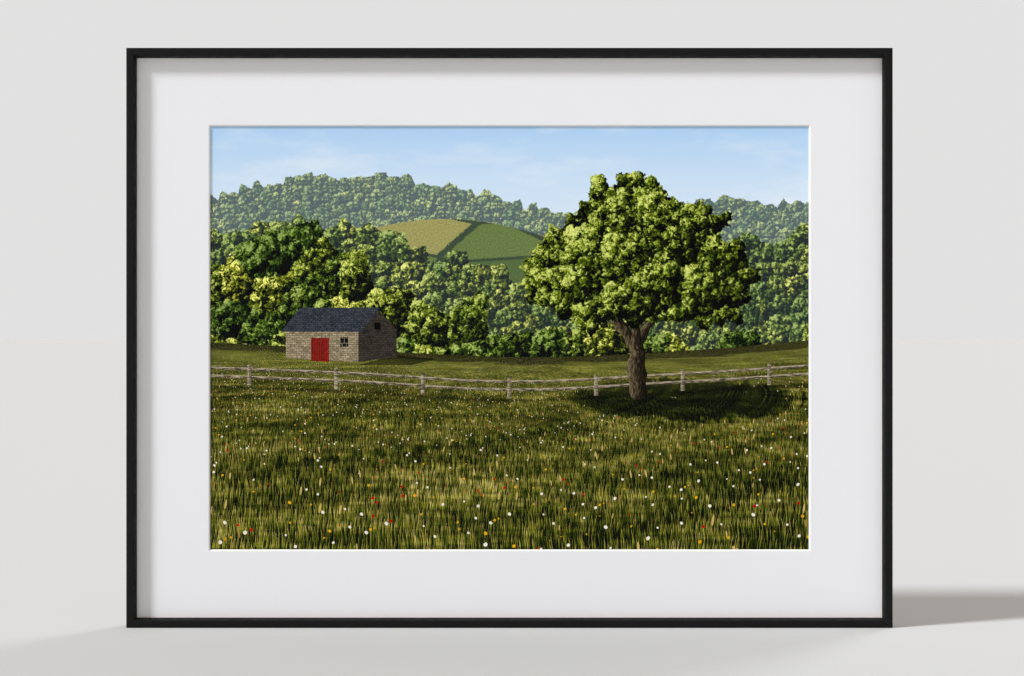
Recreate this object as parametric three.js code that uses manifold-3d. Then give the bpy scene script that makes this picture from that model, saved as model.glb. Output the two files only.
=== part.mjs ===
// A framed print: a slim black wood moulding with mitred corners around float glass, a bevel-cut
// mat, a print, a foam filler board and a fibreboard back, which turn buttons hold in.
// Millimetres. X runs to the right as the picture is seen, Y runs to the back and Z up.
// The origin is the middle of the bottom rail's underside.
import * as THREE from "three";
import { mergeVertices } from "three/addons/utils/BufferGeometryUtils.js";
import Module from "manifold-3d";

const wasm = await Module();
wasm.setup();

// Driving dimensions
const WINDOW = { width: 594, height: 420 }; // picture seen through the mat, A2
const SIGHT = { width: 738, height: 554 }; // mat seen inside the moulding
const MOULDING = {
  face: 9.5, // width seen from the front
  depth: 24, // front to back
  wall: 5.5, // width left beside the rebate
  lip: 6, // thickness of the lip in front of the glass
  flat: 7.3, // flat part of the face, the rest slopes inwards
  sightEdge: 1.2, // upright edge left where the slope meets the rebate
  arris: 0.5, // eased front corners
  mitreGap: 0.2, // taken off each mitred end
};
const SHEETS = {
  play: 0.5, // clearance to the rebate on each side
  gap: 0.3, // between one sheet and the next
  glass: 2,
  mat: 1.4,
  print: 0.4, // photo paper
  filler: 10, // foam board that takes up the rebate's depth
  back: 2.7, // medium-density fibreboard
};
const BUTTON = { thickness: 1.2, radius: 3, reach: 15, bore: 1.6, seatGap: 0.3 };
const SCREW = {
  headRadius: 2.6,
  rimHeight: 0.5,
  headHeight: 1.6,
  shankRadius: 1.3,
  shankLength: 12,
  tipLength: 2,
  headGap: 0.2, // between the head and the button that turns under it
  pilotRadius: 1.6,
};
const HANGER = {
  offsetX: 230, // from the middle of the back
  below: 80, // ring's axis below the top of the frame
  width: 9,
  thickness: 1.1,
  length: 34, // from the ring's axis to the strap's end
  eyeRadius: 2.5,
  seatGap: 0.2,
};
const RING = {
  wireRadius: 1.1,
  width: 15, // between the wire's middles
  drop: 13,
  cornerRadius: 2.4,
  endGap: 0.3, // where the bent wire's two ends meet inside the eye
};
const RIVET = {
  headRadius: 2.6,
  headHeight: 1,
  shankRadius: 1.4,
  holeRadius: 1.7,
  drops: [18, 29], // each rivet's distance below the ring's axis
};
const PAD = { radius: 5, topRadius: 4, height: 5, inset: 6, seatGap: 0.2 };

// Turn buttons along each rail: how far each screw lies from the rail's middle
const BUTTON_SPACING = {
  long: [-285, -95, 95, 285],
  short: [-190, 0, 190],
};
const ROUND_SIDES = 16;

// Sizes that follow
const OUTER = {
  width: SIGHT.width + 2 * MOULDING.face,
  height: SIGHT.height + 2 * MOULDING.face,
};
const SHEET = {
  width: OUTER.width - 2 * (MOULDING.wall + SHEETS.play),
  height: OUTER.height - 2 * (MOULDING.wall + SHEETS.play),
};
const FRONT_Y = -MOULDING.depth / 2;
const BACK_Y = MOULDING.depth / 2;
const MIDDLE_Z = OUTER.height / 2;
const GLASS_Y = FRONT_Y + MOULDING.lip + SHEETS.gap;
const MAT_Y = GLASS_Y + SHEETS.glass + SHEETS.gap;
const PRINT_Y = MAT_Y + SHEETS.mat + SHEETS.gap;
const FILLER_Y = PRINT_Y + SHEETS.print + SHEETS.gap;
const BOARD_Y = FILLER_Y + SHEETS.filler + SHEETS.gap;
const BOARD_BACK_Y = BOARD_Y + SHEETS.back;
const BUTTON_Y = BACK_Y + BUTTON.seatGap;
const SCREW_HEAD_Y = BUTTON_Y + BUTTON.thickness + SCREW.headGap;
const RING_Z = OUTER.height - HANGER.below;
const STRAP_Y = BOARD_BACK_Y + HANGER.seatGap;
const RING_Y = STRAP_Y + HANGER.eyeRadius;

const MATERIALS = {
  moulding: { color: 0x1b1b1c, roughness: 0.42, metalness: 0 },
  glass: { color: 0xe6f0ec, roughness: 0.03, metalness: 0, transparent: true, opacity: 0.2 },
  mat: { color: 0xeceded, roughness: 0.9, metalness: 0 },
  print: { color: 0x5f7a3a, roughness: 0.45, metalness: 0 },
  filler: { color: 0xf1f0ec, roughness: 0.8, metalness: 0 },
  back: { color: 0x9c7b55, roughness: 0.85, metalness: 0 },
  zinc: { color: 0xb9bcbe, roughness: 0.35, metalness: 1 },
  rubber: { color: 0x2a2a2b, roughness: 0.8, metalness: 0 },
};

// Stands a shape that is drawn from the side, off the back and up, in its place: its depth becomes X.
const FROM_SIDE_VIEW = new THREE.Matrix4().makeBasis(
  new THREE.Vector3(0, 1, 0),
  new THREE.Vector3(0, 0, 1),
  new THREE.Vector3(1, 0, 0),
);

// A geometry as a solid that can be cut and joined.
function solidFrom(geometry) {
  const bare = geometry.index ? geometry.toNonIndexed() : geometry.clone();
  bare.deleteAttribute("normal");
  bare.deleteAttribute("uv");
  const merged = mergeVertices(bare, 1e-4);
  const vertProperties = merged.getAttribute("position").array;
  const triVerts = new Uint32Array(merged.index.array);
  return new wasm.Manifold(new wasm.Mesh({ numProp: 3, vertProperties, triVerts }));
}

// A solid as a geometry that a mesh can hold.
function geometryFrom(solid) {
  const mesh = solid.getMesh();
  const geometry = new THREE.BufferGeometry();
  geometry.setAttribute("position", new THREE.BufferAttribute(mesh.vertProperties, 3));
  geometry.setIndex(new THREE.BufferAttribute(mesh.triVerts, 1));
  geometry.computeVertexNormals();
  return geometry;
}

// A round solid turned about Y. Each profile point is [radius, y], from one end of the axis to the other.
function turned(profile, sides = ROUND_SIDES) {
  return new THREE.LatheGeometry(
    profile.map(([radius, y]) => new THREE.Vector2(radius, y)),
    sides,
  );
}

// A straight round bar along Y between two heights.
function barAlongY(radius, from, to) {
  return turned([
    [0, from],
    [radius, from],
    [radius, to],
    [0, to],
  ]);
}

function named(name, geometry, material) {
  const mesh = new THREE.Mesh(geometry, new THREE.MeshStandardMaterial(MATERIALS[material]));
  mesh.name = name;
  return mesh;
}

// The moulding's section. The first coordinate runs inwards from the outer edge, the second to the back.
function mouldingSection() {
  const { face, depth, wall, lip, flat, sightEdge, arris } = MOULDING;
  return new THREE.Shape([
    new THREE.Vector2(0, arris),
    new THREE.Vector2(arris, 0),
    new THREE.Vector2(flat - arris, 0),
    new THREE.Vector2(flat, arris),
    new THREE.Vector2(face, lip - sightEdge),
    new THREE.Vector2(face, lip),
    new THREE.Vector2(wall, lip),
    new THREE.Vector2(wall, depth),
    new THREE.Vector2(0, depth),
  ]);
}

// One rail, cut square and then mitred: in its own frame it runs along X, with its outer edge
// at Z = 0, the picture's middle below it, and the back towards Y.
function railGeometry(length, screwPlaces) {
  const geometry = new THREE.ExtrudeGeometry(mouldingSection(), { depth: 1, bevelEnabled: false });
  const position = geometry.getAttribute("position");
  for (let i = 0; i < position.count; i++) {
    const inward = position.getX(i);
    const back = position.getY(i);
    const side = position.getZ(i) > 0 ? 1 : -1;
    const end = length / 2 - MOULDING.mitreGap - inward;
    position.setXYZ(i, side * end, FRONT_Y + back, -inward);
  }
  let rail = solidFrom(geometry);
  const pilot = solidFrom(
    barAlongY(SCREW.pilotRadius, SCREW_HEAD_Y - SCREW.shankLength - SHEETS.gap, BACK_Y + 1),
  );
  for (const place of screwPlaces) {
    rail = rail.subtract(pilot.translate([place, 0, -MOULDING.wall / 2]));
  }
  return geometryFrom(rail);
}

function rails() {
  // name, length, where the outer edge lies, turn about Y, screws along it
  const table = [
    ["rail_top", OUTER.width, [0, OUTER.height], 0, BUTTON_SPACING.long],
    ["rail_bottom", OUTER.width, [0, 0], Math.PI, BUTTON_SPACING.long],
    ["rail_left", OUTER.height, [-OUTER.width / 2, MIDDLE_Z], -Math.PI / 2, BUTTON_SPACING.short],
    ["rail_right", OUTER.height, [OUTER.width / 2, MIDDLE_Z], Math.PI / 2, BUTTON_SPACING.short],
  ];
  return table.map(([name, length, [x, z], turn, screwPlaces]) => {
    const rail = named(name, railGeometry(length, screwPlaces), "moulding");
    rail.position.set(x, 0, z);
    rail.rotation.y = turn;
    return rail;
  });
}

function sheetGeometry(thickness) {
  return new THREE.BoxGeometry(SHEET.width, thickness, SHEET.height);
}

// The mat's window is cut with a bevel, so it is wider in front than where it meets the print.
function matGeometry() {
  const overrun = 1;
  const cutter = new THREE.BoxGeometry(WINDOW.width, SHEETS.mat + 2 * overrun, WINDOW.height);
  const position = cutter.getAttribute("position");
  for (let i = 0; i < position.count; i++) {
    const spread = SHEETS.mat / 2 - position.getY(i); // grows towards the front
    position.setX(i, position.getX(i) + Math.sign(position.getX(i)) * spread);
    position.setZ(i, position.getZ(i) + Math.sign(position.getZ(i)) * spread);
  }
  return geometryFrom(solidFrom(sheetGeometry(SHEETS.mat)).subtract(solidFrom(cutter)));
}

function backGeometry() {
  let board = solidFrom(sheetGeometry(SHEETS.back));
  const hole = solidFrom(barAlongY(RIVET.holeRadius, -SHEETS.back, SHEETS.back));
  for (const side of [-1, 1]) {
    for (const drop of RIVET.drops) {
      board = board.subtract(hole.translate([side * HANGER.offsetX, 0, RING_Z - drop - MIDDLE_Z]));
    }
  }
  return geometryFrom(board);
}

function sheets() {
  // name, geometry, material, front face, thickness
  const table = [
    ["glazing", sheetGeometry(SHEETS.glass), "glass", GLASS_Y, SHEETS.glass],
    ["mat_board", matGeometry(), "mat", MAT_Y, SHEETS.mat],
    ["print_sheet", sheetGeometry(SHEETS.print), "print", PRINT_Y, SHEETS.print],
    ["filler_board", sheetGeometry(SHEETS.filler), "filler", FILLER_Y, SHEETS.filler],
    ["backing_board", backGeometry(), "back", BOARD_Y, SHEETS.back],
  ];
  return table.map(([name, geometry, material, frontY, thickness]) => {
    const sheet = named(name, geometry, material);
    sheet.position.set(0, frontY + thickness / 2, MIDDLE_Z);
    return sheet;
  });
}

// A flat stamped button: the screw's hole is at the origin and the tail points down.
function buttonGeometry() {
  const outline = new THREE.Shape();
  outline.absarc(0, 0, BUTTON.radius, 0, Math.PI, false);
  outline.absarc(0, -BUTTON.reach, BUTTON.radius, Math.PI, 2 * Math.PI, false);
  const bore = new THREE.Path();
  bore.absarc(0, 0, BUTTON.bore, 0, 2 * Math.PI, true);
  outline.holes.push(bore);
  const geometry = new THREE.ExtrudeGeometry(outline, {
    depth: BUTTON.thickness,
    bevelEnabled: false,
    curveSegments: ROUND_SIDES / 2,
  });
  geometry.rotateX(Math.PI / 2);
  geometry.translate(0, BUTTON.thickness, 0);
  return geometry;
}

function screwGeometry() {
  const { headRadius, rimHeight, headHeight, shankRadius, shankLength, tipLength } = SCREW;
  return turned([
    [0, -shankLength],
    [shankRadius, tipLength - shankLength],
    [shankRadius, 0],
    [headRadius, 0],
    [headRadius, rimHeight],
    [headRadius * 0.75, headHeight * 0.85],
    [0, headHeight],
  ]);
}

// The screws' places on the back, with the turn that points each button at the picture's middle.
function screwPlaces() {
  const places = [];
  const edgeX = OUTER.width / 2 - MOULDING.wall / 2;
  for (const x of BUTTON_SPACING.long) {
    places.push({ side: "top", x, z: OUTER.height - MOULDING.wall / 2, turn: 0 });
    places.push({ side: "bottom", x, z: MOULDING.wall / 2, turn: Math.PI });
  }
  for (const z of BUTTON_SPACING.short) {
    places.push({ side: "left", x: -edgeX, z: MIDDLE_Z + z, turn: -Math.PI / 2 });
    places.push({ side: "right", x: edgeX, z: MIDDLE_Z + z, turn: Math.PI / 2 });
  }
  return places;
}

function fastenings() {
  const made = [];
  const count = {};
  for (const { side, x, z, turn } of screwPlaces()) {
    count[side] = (count[side] ?? 0) + 1;
    const label = `${side}_${count[side]}`;
    const button = named(`button_${label}`, buttonGeometry(), "zinc");
    button.position.set(x, BUTTON_Y, z);
    button.rotation.y = turn;
    const screw = named(`screw_${label}`, screwGeometry(), "zinc");
    screw.position.set(x, SCREW_HEAD_Y, z);
    made.push(button, screw);
  }
  return made;
}

// The strap as it is seen from behind, with its lower end round, as a plate thicker than the eye.
function strapOutlineGeometry() {
  const { width, length, eyeRadius } = HANGER;
  const half = width / 2;
  const outline = new THREE.Shape();
  outline.moveTo(half, half - length);
  outline.lineTo(half, 2 * eyeRadius);
  outline.lineTo(-half, 2 * eyeRadius);
  outline.lineTo(-half, half - length);
  outline.absarc(0, half - length, half, Math.PI, 2 * Math.PI, false);
  const plate = new THREE.ExtrudeGeometry(outline, {
    depth: 4 * eyeRadius,
    bevelEnabled: false,
    curveSegments: ROUND_SIDES / 2,
  });
  plate.rotateX(Math.PI / 2);
  plate.translate(0, 3 * eyeRadius, 0);
  return plate;
}

// A steel strap whose upper end is rolled into an eye, with two rivets through the back.
function hangerGeometry() {
  const { width, thickness, length, eyeRadius, seatGap } = HANGER;
  const meet = Math.acos((eyeRadius - thickness) / eyeRadius); // where the strap meets the eye
  const side = new THREE.Shape();
  side.moveTo(0, -length);
  side.lineTo(thickness, -length);
  side.absarc(eyeRadius, 0, eyeRadius, Math.PI + meet, 3 * Math.PI, false);
  side.closePath();
  const eye = new THREE.Path();
  eye.absarc(eyeRadius, 0, eyeRadius - thickness, 0, 2 * Math.PI, true);
  side.holes.push(eye);
  const strap = new THREE.ExtrudeGeometry(side, {
    depth: width,
    bevelEnabled: false,
    curveSegments: ROUND_SIDES,
  });
  strap.translate(0, 0, -width / 2);
  strap.applyMatrix4(FROM_SIDE_VIEW);
  let hanger = solidFrom(strap).intersect(solidFrom(strapOutlineGeometry()));
  const rivet = solidFrom(
    turned([
      [0, -seatGap - SHEETS.back],
      [RIVET.shankRadius, -seatGap - SHEETS.back],
      [RIVET.shankRadius, thickness / 2],
      [RIVET.headRadius, thickness / 2],
      [RIVET.headRadius, thickness + RIVET.headHeight / 2],
      [RIVET.headRadius * 0.6, thickness + RIVET.headHeight],
      [0, thickness + RIVET.headHeight],
    ]),
  );
  for (const drop of RIVET.drops) {
    hanger = hanger.add(rivet.translate([0, 0, -drop]));
  }
  return geometryFrom(hanger);
}

// A D-shaped ring of round wire, its straight side along X at the origin and its bow hanging down.
function ringGeometry() {
  const half = RING.width / 2;
  const { cornerRadius: corner, drop, endGap, wireRadius } = RING;
  const loop = new THREE.Path();
  loop.moveTo(endGap / 2, 0);
  loop.lineTo(half - corner, 0);
  loop.absarc(half - corner, -corner, corner, Math.PI / 2, 0, true);
  loop.lineTo(half, half - drop);
  loop.absarc(0, half - drop, half, 0, -Math.PI, true);
  loop.lineTo(-half, -corner);
  loop.absarc(-half + corner, -corner, corner, Math.PI, Math.PI / 2, true);
  loop.lineTo(-endGap / 2, 0);
  const steps = 48;
  const points = loop.getSpacedPoints(steps).map(({ x, y }) => new THREE.Vector3(x, 0, y));
  const section = new THREE.Shape().absarc(0, 0, wireRadius, 0, 2 * Math.PI, false);
  return new THREE.ExtrudeGeometry(section, {
    steps,
    curveSegments: 5,
    bevelEnabled: false,
    extrudePath: new THREE.CatmullRomCurve3(points),
  });
}

function hangers() {
  const made = [];
  for (const [label, sign] of [
    ["left", -1],
    ["right", 1],
  ]) {
    const hanger = named(`hanger_${label}`, hangerGeometry(), "zinc");
    hanger.position.set(sign * HANGER.offsetX, STRAP_Y, RING_Z);
    const ring = named(`ring_${label}`, ringGeometry(), "zinc");
    ring.position.set(sign * HANGER.offsetX, RING_Y, RING_Z);
    made.push(hanger, ring);
  }
  return made;
}

// Rubber pads at the back's corners keep the frame off the wall.
function wallPads() {
  const profile = [
    [0, 0],
    [PAD.radius, 0],
    [PAD.radius, PAD.height * 0.6],
    [PAD.topRadius, PAD.height],
    [0, PAD.height],
  ];
  const made = [];
  for (const [label, side] of [
    ["left", -1],
    ["right", 1],
  ]) {
    for (const [level, z] of [
      ["top", OUTER.height - PAD.inset],
      ["bottom", PAD.inset],
    ]) {
      const pad = named(`wall_pad_${level}_${label}`, turned(profile), "rubber");
      pad.position.set(side * (OUTER.width / 2 - PAD.inset), BACK_Y + PAD.seatGap, z);
      made.push(pad);
    }
  }
  return made;
}

const framedPrint = new THREE.Group();
framedPrint.name = "framed_print";
framedPrint.add(...rails(), ...sheets(), ...fastenings(), ...hangers(), ...wallPads());

export default framedPrint;
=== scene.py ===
"""A slim black picture frame around glass, a bevel-cut mat and a landscape print, dressed for looks.

Sizes in the classes are millimetres. X runs to the right as the picture is seen, Y to the back and Z up,
and the origin is the middle of the bottom rail's underside.
"""
import logging
import math
from collections.abc import Iterable, Iterator
from dataclasses import dataclass
from enum import Enum
from itertools import chain

import bmesh
import bpy
from mathutils import Matrix, Vector


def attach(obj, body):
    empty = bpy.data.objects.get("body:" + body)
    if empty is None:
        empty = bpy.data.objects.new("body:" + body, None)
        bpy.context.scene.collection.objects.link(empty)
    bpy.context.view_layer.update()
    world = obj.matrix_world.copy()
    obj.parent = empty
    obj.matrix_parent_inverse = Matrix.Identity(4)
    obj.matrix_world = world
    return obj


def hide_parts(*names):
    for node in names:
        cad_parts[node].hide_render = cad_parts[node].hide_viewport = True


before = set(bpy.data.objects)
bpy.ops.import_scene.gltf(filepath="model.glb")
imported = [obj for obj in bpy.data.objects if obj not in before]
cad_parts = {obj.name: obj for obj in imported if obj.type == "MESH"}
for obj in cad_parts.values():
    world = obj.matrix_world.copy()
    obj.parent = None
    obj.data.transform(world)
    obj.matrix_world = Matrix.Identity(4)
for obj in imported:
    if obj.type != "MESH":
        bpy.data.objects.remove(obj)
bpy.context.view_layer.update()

log = logging.getLogger("framed_print")

MM = 0.001
PER_MM = 1000.0  # a texture's scale for one repeat a millimetre, as Object coordinates are metres
SMOOTH_BELOW = math.radians(32)  # edges that turn less than this are shaded smooth
STILL = "frame"  # the body that carries all that doesn't move
NOISE_SPAN = (0.3, 0.7)  # where nearly all of a noise's values lie
FAR = 9.0  # where the search for a least distance starts

Feed = object  # a number, a tuple, an sRGB hex colour, a node or an output socket
Layer = tuple[Feed, Feed]  # how much of what is behind is covered, and the colour that covers it
Point2 = tuple[float, float]
Point3 = tuple[float, float, float]
Ramp = tuple[tuple[float, str], ...]
Sway = tuple[float, float, Point2]  # waves in a millimetre, their finer detail, and the reach across and up
Node = bpy.types.Node
Tree = bpy.types.NodeTree
Given = bpy.types.NodeOutputs  # what a group's inputs give inside it
Thing = bpy.types.Object

# The kind of socket that holds each kind of value
SOCKETS = {
    float: "Float",
    int: "Int",
    tuple: "Vector",
    bpy.types.Object: "Object",
    bpy.types.Material: "Material",
    bpy.types.Mesh: "Geometry",
}


def linear(colour: str) -> tuple[float, ...]:
    """Turns an sRGB colour into linear light.

    Args:
        colour: six hex digits after a hash.

    Returns:
        Red, green, blue and an alpha of 1.
    """
    shares = [int(colour[i : i + 2], 16) / 255 for i in (1, 3, 5)]
    return (*(s / 12.92 if s <= 0.04045 else ((s + 0.055) / 1.055) ** 2.4 for s in shares), 1.0)


def add(
    tree: Tree,
    kind: str,
    feeds: tuple[Feed, ...] | dict[str, Feed] = (),
    operation: str | None = None,
    ramp: Ramp = (),
    bends: tuple[Point2, ...] = (),
    **settings: object,
) -> Node:
    """Adds a node with its settings and links.

    Args:
        tree: the tree that it joins.
        kind: Blender's name for the node, less ShaderNode where it starts with that.
        feeds: what its inputs take, by name, or in the order of the inputs in use.
        operation: what it does, where it is one of the kinds that offer a choice.
        ramp: a colour ramp's places and colours.
        bends: a curve's points, where the node holds one.
        settings: the node's other properties.

    Returns:
        The node. Where it feeds another, its first output in use does.
    """
    node = tree.nodes.new(kind if "Node" in kind else "ShaderNode" + kind)
    if operation is not None:
        node.operation = operation
    for name, value in settings.items():
        setattr(node, name, value)
    in_use = [socket for socket in node.inputs if socket.enabled]
    for key, value in feeds.items() if isinstance(feeds, dict) else enumerate(feeds):
        socket = in_use[key] if isinstance(key, int) else node.inputs[key]
        if isinstance(value, Node):
            value = next(output for output in value.outputs if output.enabled)
        if isinstance(value, bpy.types.NodeSocket):
            tree.links.new(value, socket)
        else:
            is_colour = isinstance(value, str) and value.startswith("#")
            socket.default_value = linear(value) if is_colour else value
    if ramp:
        elements = node.color_ramp.elements
        while len(elements) < len(ramp):
            elements.new(0.5)
        for element, (place, colour) in zip(elements, ramp):
            element.position = place
            element.color = linear(colour)
    if bends:
        points = node.mapping.curves[0].points
        while len(points) < len(bends):
            points.new(0.5, 0.5)
        for point, place in zip(points, bends):
            point.location = place
        node.mapping.update()
    return node


def named_tree(
    name: str,
    inputs: dict[str, object],
    outputs: dict[str, object] | None = None,
    kind: str = "GeometryNodeTree",
) -> tuple[Tree, Given]:
    """Makes a node group with named sockets.

    Args:
        name: the group's name.
        inputs: each input's name and a value of the kind that it takes.
        outputs: the same for the outputs. A tree with none gives one geometry.
        kind: the kind of tree.

    Returns:
        The group, and what its inputs give inside it.
    """
    tree = bpy.data.node_groups.new(name, kind)
    for way, sockets in (("INPUT", inputs), ("OUTPUT", outputs or {})):
        for label, value in sockets.items():
            tree.interface.new_socket(label, in_out=way, socket_type="NodeSocket" + SOCKETS[type(value)])
    if outputs is None:
        tree.interface.new_socket("Geometry", in_out="OUTPUT", socket_type="NodeSocketGeometry")
    return tree, add(tree, "NodeGroupInput").outputs


def grown(name: str, tree: Tree, inputs: dict[str, object]) -> Thing:
    """Grows a Geometry Nodes tree into one plain mesh.

    Args:
        name: the piece's name.
        tree: the tree.
        inputs: the value of each named input.

    Returns:
        The piece, with no modifier left on it.
    """
    piece = placed(name, bpy.data.meshes.new(name))
    modifier = piece.modifiers.new("grow", "NODES")
    modifier.node_group = tree
    for item in tree.interface.items_tree:
        if item.in_out == "INPUT":
            modifier[item.identifier] = inputs[item.name]
    settle(piece)
    piece.data.name = name
    return piece


def settle(piece: Thing) -> None:
    """Turns a piece with one modifier into a plain mesh, shaded smooth but for its corners.

    Args:
        piece: the piece.
    """
    depsgraph = bpy.context.evaluated_depsgraph_get()
    result = bpy.data.meshes.new_from_object(piece.evaluated_get(depsgraph))
    piece.modifiers.clear()
    piece.data = result
    smooth(result)


def smooth(mesh: bpy.types.Mesh) -> None:
    """Shades a mesh smooth, and keeps its corners crisp."""
    mesh.shade_smooth()
    mesh.set_sharp_from_angle(angle=SMOOTH_BELOW)


def placed(name: str, data: bpy.types.ID) -> Thing:
    """Puts an object into the scene, at the origin.

    Args:
        name: the object's name.
        data: its mesh, curve, lamp or lens.

    Returns:
        The object.
    """
    made = bpy.data.objects.new(name, data)
    bpy.context.scene.collection.objects.link(made)
    return made


def object_from(name: str, build: bmesh.types.BMesh) -> Thing:
    """Puts a built mesh into the scene.

    Args:
        name: the object's name.
        build: the mesh, which is freed.

    Returns:
        The object.
    """
    mesh = bpy.data.meshes.new(name)
    build.to_mesh(mesh)
    build.free()
    smooth(mesh)
    return placed(name, mesh)


def discard(*helpers: Thing) -> None:
    """Removes helper objects that other pieces were made from."""
    for helper in helpers:
        bpy.data.objects.remove(helper)


def rounded(corners: tuple[Point3, ...]) -> list[Point2]:
    """Rounds the corners of a closed outline.

    Args:
        corners: each corner's two coordinates and its radius, in order round the outline.

    Returns:
        The outline's points.
    """
    steps = 4  # straight pieces in each rounded corner
    points: list[Point2] = []
    for i, (x, y, radius) in enumerate(corners):
        corner = Vector((x, y))
        before = (Vector(corners[i - 1][:2]) - corner).normalized()
        after = (Vector(corners[(i + 1) % len(corners)][:2]) - corner).normalized()
        if radius == 0:
            points.append((x, y))
            continue
        half = before.angle(after) / 2
        middle = corner + (before + after).normalized() * radius / math.sin(half)
        start = corner + before * radius / math.tan(half) - middle
        end = corner + after * radius / math.tan(half) - middle
        for k in range(steps + 1):
            spoke = start.lerp(end, k / steps).normalized() * radius
            points.append(tuple(middle + spoke))
    return points


def curve_from(name: str, points: list[tuple[float, ...]], closed: bool) -> Thing:
    """Makes a helper curve of straight pieces.

    Args:
        name: the helper's name.
        points: two or three coordinates each, in millimetres.
        closed: whether the last point joins the first.

    Returns:
        The curve's object.
    """
    curve = bpy.data.curves.new(name, "CURVE")
    curve.dimensions = "3D"
    spline = curve.splines.new("POLY")
    spline.points.add(len(points) - 1)
    for knot, point in zip(spline.points, points):
        knot.co = (*(c * MM for c in (*point, 0)[:3]), 1)
    spline.use_cyclic_u = closed
    return placed(name, curve)


def places_from(places: list[tuple[float, ...]]) -> Thing:
    """Makes a helper mesh of loose points, each with a turn about Y.

    Args:
        places: each point's three coordinates in millimetres and its turn in radians.

    Returns:
        The helper.
    """
    mesh = bpy.data.meshes.new("spots")
    mesh.from_pydata([[c * MM for c in place[:3]] for place in places], [], [])
    turns = mesh.attributes.new("turn", "FLOAT", "POINT")
    turns.data.foreach_set("value", [place[3] for place in places])
    return placed("spots", mesh)


def skinned(name: str, rings: list[list[Vector]]) -> Thing:
    """Joins rings of points into a closed skin, with a cap on each end.

    Args:
        name: the object's name.
        rings: the sections from end to end in millimetres, with equal counts, or one point for a pole.

    Returns:
        The object.
    """
    build = bmesh.new()
    made = [[build.verts.new(point * MM) for point in ring] for ring in rings]
    for near, far in zip(made, made[1:]):
        for k in range(max(len(near), len(far))):
            corners = [ring[i % len(ring)] for ring, i in ((near, k), (near, k + 1), (far, k + 1), (far, k))]
            build.faces.new(list(dict.fromkeys(corners)))
    for end in (made[0], made[-1]):
        if len(end) > 1:
            build.faces.new(end)
    bmesh.ops.recalc_face_normals(build, faces=build.faces)
    return object_from(name, build)


def turned(name: str, profile: tuple[Point2, ...], sides: int) -> Thing:
    """Turns a solid about Y.

    Args:
        name: the object's name.
        profile: a radius and a place along Y for each step, in millimetres, from axis to axis.
        sides: how many sides the turned solid has.

    Returns:
        The solid's object.
    """
    angles = [2 * math.pi * k / sides for k in range(sides)]
    rings = []
    for radius, y in profile:
        spokes = angles if radius else angles[:1]
        rings.append([Vector((radius * math.cos(a), y, radius * math.sin(a))) for a in spokes])
    return skinned(name, rings)


def cut_with(solid: Thing, tool: Thing, how: str) -> None:
    """Cuts a helper solid with another, or joins it on.

    Args:
        solid: what is worked on.
        tool: the other solid, which is removed afterwards.
        how: DIFFERENCE or UNION.
    """
    modifier = solid.modifiers.new("cut", "BOOLEAN")
    modifier.operation = how
    modifier.object = tool
    modifier.solver = "EXACT"
    settle(solid)
    discard(tool)


def seat(piece: Thing, body: str, slot: str, *nodes: str) -> None:
    """Lets a piece ride on its body, and hides and logs the solids that it stands for.

    Args:
        piece: the finished piece.
        body: the body that it moves with.
        slot: the record's name for its finish, which is not used.
        nodes: the CAD nodes that it replaces.
    """
    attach(piece, body)
    if nodes:
        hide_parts(*nodes)
    log.info("%s: %d faces, on %s, for %s", piece.name, len(piece.data.polygons), body, nodes or "no node")


def dress(node: str, material: bpy.types.Material) -> None:
    """Gives a CAD node that stays as it is a better material.

    Args:
        node: the node's name.
        material: the material.
    """
    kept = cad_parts[node]
    kept.data.materials.clear()
    kept.data.materials.append(material)
    log.info("%s: kept, in %s", node, material.name)


@dataclass(frozen=True)
class Finish:
    """A finish, which makes its material the first time that it is asked for."""

    name: str

    def material(self) -> bpy.types.Material:
        """Finds the finish's material, or makes it.

        Returns:
            The material.
        """
        known = bpy.data.materials.get(self.name)
        if known is not None:
            return known
        made = bpy.data.materials.new(self.name)
        made.use_nodes = True
        made.node_tree.nodes.clear()
        add(made.node_tree, "OutputMaterial", {"Surface": self.shader(made.node_tree)})
        return made

    def shader(self, tree: Tree) -> Node:
        """Builds the finish's shader in its tree and returns it."""
        raise NotImplementedError


@dataclass(frozen=True)
class Grain:
    """A pattern of grains in a surface."""

    size: Point3  # one grain's length along X, Y and Z in millimetres
    detail: float = 3.0  # how many finer sizes lie in it
    rough: float = 0.5  # how strongly they show
    on_rail: bool = False  # whether X is along the rail that it is on, and not across the frame


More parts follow.
